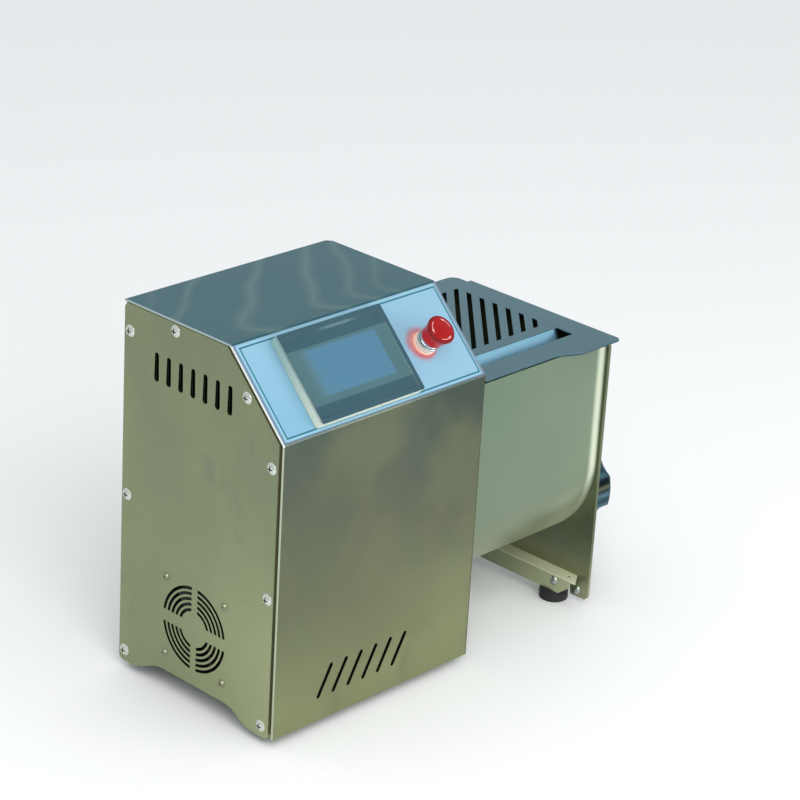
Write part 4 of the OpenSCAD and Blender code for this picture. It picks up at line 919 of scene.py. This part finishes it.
def button_reflection(finish, along, rise, sheet):
    """Painted red reflection round the foot of the stop button, palest beside its collar."""
    far = distance(along - (stop_along - 2), rise - (stop_up + 1))
    tint = finish.mix(fade(far, 13.0, 9.0), paint(176, 80, 88), paint(218, 150, 134))
    return finish.mix(fade(far, 18.0, 11.5) * 0.75, sheet, tint)


def film_finish():
    """Pale blue film with its border line and the button's painted red reflection."""
    finish = Finish("blue_film", paint(128, 163, 188), 0.34, 0.0, Coat_Weight=0.15,
                    Coat_Roughness=0.2)
    x, y = finish.panel()[:2]
    clouds = finish.noise((5, 5, 5), detail=1)
    low_left = fade(x + y * 1.2, 120.0, 20.0)
    sheet = finish.mix(clouds * 0.4 + low_left * 0.6, paint(126, 164, 187), paint(107, 156, 180))
    rim = outside(x, y, *BORDER)
    sheet = finish.mix(rim > 0.0, sheet, paint(124, 166, 188))
    sheet = finish.mix(abs(rim) < 0.7, sheet, paint(2, 96, 106))
    skin = finish.noise((900, 900, 900))
    return finish.done(button_reflection(finish, x, y, sheet), 0.30 + skin * 0.08, skin, 0.000012)


finished("control_overlay", "housing", film_finish(), 0.12, 2)
print(f"film from {film_low:.0f} to {film_high:.0f} mm, stop button at {stop_along:.0f} mm")

# %% [markdown]
# ## The touchscreen
#
# The touchscreen is a moulded frame that stands proud of the film, with a cover glass let into its
# face. The glass is one dark slate sheet, and the display behind it is on: a grey-teal field over
# nearly the whole width, with a brighter blue page in it, and a painted streak of reflected light
# above them. Frame and glass share one face pattern, so that the slate runs over the joint between
# them. The frame's sides, and a thin strip of its face at the left, are painted pale as painted
# light. FIELD and PAGE are rectangles as BORDER is.

# %% Screen finish
screen_left, screen_right = (edge.x for edge in workshop_box("touchscreen_frame"))
FIELD = (screen_left + 2.4, screen_right - 4.0, 19.0, 68.5)
PAGE = (51, 137, 25, 66)
STREAK = (104, 79.5)


def display(finish, x, y, haze):
    """The lit display: a page that is blue to the right, in its grey-teal field."""
    field = finish.mix(haze, paint(60, 90, 96), paint(69, 100, 106))
    page = fade(outside(x, y, *PAGE), 0.6, -0.8) * fade(x, PAGE[0] - 4.0, PAGE[0] + 12.0)
    blue = finish.mix(fade(x, PAGE[0] - 2.0, PAGE[0] + 16.0), paint(74, 106, 116),
                      paint(68, 108, 131))
    return finish.mix(page, field, blue)


def screen_finish(name, roughness, face_out):
    """The slate face with the lit display, and the frame's sides below it painted pale as painted
    light.
    """
    finish = Finish(name, paint(42, 82, 96), roughness, 0.0, Specular_IOR_Level=0.35)
    x, y, out = finish.panel()
    haze = finish.noise((12, 12, 12), detail=1)
    slate = finish.mix(haze, paint(38, 68, 80), paint(50, 80, 90))
    face = finish.mix(fade(outside(x, y, *FIELD), -0.3, 0.3), display(finish, x, y, haze), slate)
    # A painted streak of reflected light over the display.
    streak = fade(abs(y - STREAK[1]), 1.8, 0.2) * fade(abs(x - STREAK[0]), 26.0, 8.0)
    face = finish.mix(streak * 0.4, face, paint(116, 146, 156))
    # The frame's sides are painted pale as painted light, darker towards the top.
    lit_sides = finish.mix(fade(y, 80.0, 5.0), paint(150, 178, 172), paint(208, 214, 196))
    # A thin strip of the face at the left shares that painted light.
    face = finish.mix(fade(x, screen_left + 2.3, screen_left + 1.3) * 0.35, face, lit_sides)
    wiped = finish.noise((40, 8, 40), detail=3)
    return finish.done(finish.mix(out > face_out, lit_sides, face), roughness + wiped * 0.1)


outwards = Vector((0, -HALF_ROOT, HALF_ROOT))
face_out = max((v.co - corner).dot(outwards) / MM
               for v in nodes["touchscreen_frame"].data.vertices) - bevel_z * HALF_ROOT
frame_face = screen_finish("slate_frame", 0.3, face_out - 0.3)
finished("touchscreen_frame", "housing", frame_face, 0.4, 3)
finished("touchscreen_glass", "housing", screen_finish("screen_glass", 0.18, 0.0), 0.15, 2)
print(f"screen face {face_out:.1f} mm above the sheet")

# %% [markdown]
# ## The stop button
#
# A mushroom button is a moulded red cap on a bright turned collar. The three turning arrows that
# such a button carries are drawn by angle and radius round its axis: a bar that ends in a point,
# three times round. `third` runs from 0 to 1 in each third of a turn. The collar is chrome with the
# thin groove of its lock ring, painted dark as shade, and its foot is painted with the red light
# that the button reflects onto it.

# %% Cap and collar finish
RED = paint(150, 3, 12)
ARROW_RADIUS, BAR_HALF, TIP = 9.4, 0.3, 0.76
FLANGE_TOP = 2.35


def cap_finish():
    """Glossy red plastic with three white turning arrows near the rim, and painted shade at the
    rim.
    """
    finish = Finish("red_plastic", RED, 0.25, 0.0, Coat_Weight=0.2, Coat_Roughness=0.04,
                    Specular_IOR_Level=0.15)
    along, rise, out = finish.panel()
    x, y = along - stop_along, rise - stop_up
    radius = distance(x, y)
    third = fraction((turns(y, x) + 1.06) * 3)
    beside = abs(radius - ARROW_RADIUS)
    bar = (abs(third - 0.36) < 0.2) * (beside < BAR_HALF)
    point = (third > 0.56) * (beside < (TIP - third) * 5.5)
    white = larger(bar, point) * (out > 26.0)
    patches = finish.noise((90, 90, 90))
    red = finish.mix(patches, shaded(RED, 0.85), RED)
    # Painted shade darkens the red towards the cap's rim.
    red = finish.mix(fade(radius, 9.0, 12.4) * 0.6, red, paint(84, 2, 12))
    red = finish.mix(fade(out, 27.0, 25.5), red, paint(188, 12, 10))
    red = finish.mix(white, red, paint(206, 150, 152))
    return finish.done(red, 0.2 + patches * 0.1, finish.noise((700, 700, 700)), 0.000015)


def collar_finish():
    """Bright chrome with painted shade in its groove, and a foot painted with the button's red
    light.
    """
    finish = Finish("bright_collar", paint(205, 208, 204), 0.16, 1.0)
    along, rise, out = finish.panel()
    rings = finish.noise((900, 900, 900), detail=1)
    chrome = finish.mix(rings, paint(186, 190, 184), paint(214, 216, 210))
    # The foot is painted pale and red, as the light the button reflects onto it.
    flange = button_reflection(finish, along, rise, paint(186, 112, 112))
    lit = finish.mix(out < FLANGE_TOP, paint(250, 226, 204), flange)
    foot = fade(out, 7.6, 6.2)
    chrome = finish.mix(foot, chrome, lit)
    # Painted shade in the groove of the lock ring.
    chrome = finish.mix(between(out, 4.0, 4.8), chrome, paint(74, 76, 58))
    finish.set("Metallic", 1.0 - foot)
    return finish.done(chrome, 0.12 + rings * 0.08 + foot * 0.2)


print("stop button finishes ready")

# %% [markdown]
# ## Cap, collar and plunger
#
# The cap is spun from the same outline as its solid, with a softer rim. Between cap and collar the
# plunger carries a bright sleeve, which slides into the hollow collar when the button is pressed.
# Heights are counted from the panel outwards, and SLOPE stands the three pieces on it.

# %% Spin the button
CAP = [(5.7, 13.04), (9.6, 13.04), (10.1, 13.25), (10.4, 13.74), (10.75, 18.0), (11.6, 22.5)]
CAP += arc(11.8, 26.9, 1.2, -12, 75, 8) + [
    (10.2, 28.28), (8.5, 28.5), (6.0, 28.72), (3.0, 28.93), (0, 29.0), (0, 25.05), (3.7, 25.05),
    (3.7, 21.2), (5.7, 21.2)]
COLLAR = [
    (6.0, 0.54), (12.4, 0.54), (12.4, 1.5), (12.0, 1.95), (10.6, 2.2), (10.4, 2.5), (10.4, 3.9),
    (9.9, 4.1), (9.9, 4.7), (10.4, 4.9), (10.4, 7.0), (10.2, 7.9), (9.9, 8.4), (9.6, 8.54),
    (9.4, 8.3), (9.4, 3.6), (6.0, 3.6)]
PLUNGER = [
    (0, -12.0), (5.3, -12.0), (5.5, -11.8), (5.5, 7.9), (8.9, 7.9), (9.1, 8.1), (9.1, 10.0),
    (8.8, 10.2), (8.8, 10.8), (9.1, 11.0), (9.1, 12.7), (8.9, 12.95), (5.5, 12.95), (5.5, 21.0),
    (3.5, 21.0), (3.5, 24.8), (3.3, 25.0), (0, 25.0)]
stop_matrix = SLOPE @ Matrix.Translation(Vector((stop_along, stop_up, 0)) * MM)
standing_for("stop_head", "stop_head", spun(CAP, stop_matrix, 96), cap_finish())
standing_for("stop_collar", "housing", spun(COLLAR, stop_matrix, 96), collar_finish(), 30)
standing_for("stop_plunger", "stop_plunger", spun(PLUNGER, stop_matrix, 96), POLISHED, 30)
print("cap", 2 * max(radius for radius, height in CAP), "mm across")

# %% [markdown]
# ## Mains inlet
#
# The inlet is one solid of two materials, so its finish changes with the place on it: brass blades
# stand inside the black moulding.

# %% Inlet finish
def inlet_finish():
    """Black moulding with brass blades."""
    finish = Finish("inlet_plastic", paint(40, 40, 42), 0.45)
    x, y, z = finish.workshop()
    low, high = workshop_box("power_inlet")
    middle = (low + high) / 2
    inner = (abs(x - middle.x) < 8.2) * (abs(z - middle.z) < 4.2)
    blade = inner * between(y, low.y + 6.2, high.y - 4.0)
    skin = finish.noise((700, 700, 700), detail=3)
    black = finish.mix(skin, paint(34, 34, 36), paint(46, 46, 48))
    finish.set("Metallic", blade)
    brass = paint(205, 176, 110)
    return finish.done(finish.mix(blade, black, brass), 0.4 + skin * 0.12, skin, 0.00006)


finished("power_inlet", "housing", inlet_finish(), 0.3)
print("inlet finished")

# %% [markdown]
# ## Circuit board
#
# The board is one solid as well. What stands proud of its plate takes the colour of the part that
# sits there: transformer and relay below, chip and capacitors in the middle, terminals on top.

# %% Board finish
TRANSFORMER, RELAY, CHIP = paint(36, 36, 38), paint(40, 74, 150), paint(48, 50, 54)
CAPACITORS, TERMINALS = paint(62, 64, 96), paint(214, 208, 190)


def board_finish():
    """Green board with paler tracks, and parts in their own colours."""
    finish = Finish("green_board", paint(30, 98, 62), 0.4)
    x, y, z = finish.workshop()
    low, high = workshop_box("controller_board")
    x, z = x - low.x, z - low.z
    tracks = finish.noise((260, 260, 260), detail=0)
    plate = finish.mix(tracks > 0.52, paint(26, 92, 56), paint(44, 116, 74))
    parts = finish.mix(x > 27.0, TRANSFORMER, RELAY)
    parts = finish.mix(z > 40.0, parts, CHIP)
    parts = finish.mix((z > 40.0) * (x > 28.0), parts, CAPACITORS)
    parts = finish.mix(z > 67.0, parts, TERMINALS)
    board = finish.mix(y < high.y - 1.7, plate, parts)
    return finish.done(board, 0.36 + tracks * 0.12, tracks, 0.00005)


finished("controller_board", "housing", board_finish(), 0.15, 1)
print("board finished")

# %% [markdown]
# ## Gear motor and rocker
#
# The motor's end caps are enamelled, and the stacked steel plates of its stator show as a paler
# band round its middle, about half its length wide. The mains switch that starts it has a rocker
# of glossy red plastic.

# %% Motor finish
def motor_finish():
    """Dark enamel with the pale stacked plates of the stator showing in a band."""
    finish = Finish("motor_paint", paint(64, 70, 76), 0.5, 0.2)
    x = finish.workshop()[0]
    low, high = (edge.x for edge in workshop_box("gear_motor"))
    stack = abs(x - (low + high) / 2) < (high - low) * 0.26
    plates = finish.noise((2200, 3, 3), detail=1)
    pebbles = finish.noise((700, 700, 700), detail=3)
    steel = finish.mix(plates, paint(96, 100, 104), paint(140, 144, 148))
    enamel = finish.mix(pebbles, paint(54, 60, 66), paint(72, 78, 84))
    finish.set("Metallic", stack * 0.7 + 0.1)
    relief = larger(plates * stack, pebbles * 0.6)
    return finish.done(finish.mix(stack, enamel, steel), height=relief, depth=0.00005)


finished("gear_motor", "housing", motor_finish(), 0.8, 3)
rocker_red = cast("rocker_red", paint(176, 26, 28), metallic=0.0, roughness=0.35, depth=0.00002)
finished("switch_rocker", "rocker", rocker_red, 0.4, 3)
print("motor and rocker finished")

# %% [markdown]
# ## Small fasteners
#
# Nuts, pins and bushes inside the housing keep their solid shape and only take a finish.

# %% Finishes on frame nodes
KEPT = {
    "stop_lock_nut": ZINC, "fan_nuts": ZINC, "output_shaft": GROUND, "plate_spacers": ZINC,
    "gearbox_screws": ZINC, "shaft_bushes": BRONZE, "hinge_pins": ZINC, "board_standoffs": BRONZE,
}
for name, material in KEPT.items():
    data = nodes[name].data
    data.materials.clear()
    data.materials.append(material)
print("kept:", len(KEPT), "nodes")

# %% [markdown]
# ## Studio
#
# A pale floor, a bright sky and three large area lights. Soft light from big sources is what satin
# metal needs: it shows the form without hard glints. The sky is brighter overhead than at the
# horizon, so that sheets that face up read lighter than those that face the side. LAMPS lists each
# light's place in workshop millimetres, its width in metres and its watts.

# %% Floor, sky and lights
SKY = ((0.0, (0.80, 0.86, 0.90)), (0.5, (0.88, 0.93, 0.95)), (1.0, (1.0, 1.0, 1.0)))
SKY_STRENGTH = 0.9
LAMPS = (("key", (-900, -1500, 1700), 1.6, 30), ("fill", (700, -2200, 1000), 2.0, 12),
         ("low", (1300, -1500, 260), 0.8, 9))
AIM = (200, 96, 150)
FLOOR_HALF = 12


def paper_floor():
    """A wide sheet of pale paper on the ground."""
    mesh = bmesh.new()
    bmesh.ops.create_grid(mesh, x_segments=1, y_segments=1, size=FLOOR_HALF)
    paper = Finish("paper", (0.86, 0.86, 0.86), 0.9)
    fibres = paper.noise((300, 300, 300))
    white = paper.done(paper.mix(fibres, (0.85, 0.85, 0.85), (0.88, 0.88, 0.88)))
    as_object("floor", mesh, white, weighted=False)


def bright_sky():
    """A sky that grows brighter with height."""
    world = bpy.data.worlds.new("sky")
    bpy.context.scene.world = world
    world.use_nodes = True
    sky = Graph(world.node_tree, "Background")
    place = sky.node("ShaderNodeTexCoord", {}, out="Generated")
    height = sky.node("ShaderNodeSeparateXYZ", {}, place, out="Z")
    sky.set("Color", sky.node("ShaderNodeValToRGB", {"stops": SKY}, height))
    sky.set("Strength", SKY_STRENGTH)


def lamp(name, spot, size, watts):
    """A round area light that shines on the machine's middle."""
    light = bpy.data.objects.new(name, bpy.data.lights.new(name, "AREA"))
    light.data.shape = "DISK"
    light.data.size = size
    light.data.energy = watts
    light.location = at(*spot)
    light.rotation_euler = (at(*AIM) - light.location).to_track_quat("-Z", "Y").to_euler()
    bpy.context.scene.collection.objects.link(light)


paper_floor()
bright_sky()
for name, spot, size, watts in LAMPS:
    lamp(name, spot, size, watts)
bpy.context.scene.view_settings.view_transform = "Standard"
print("lights:", len(LAMPS))
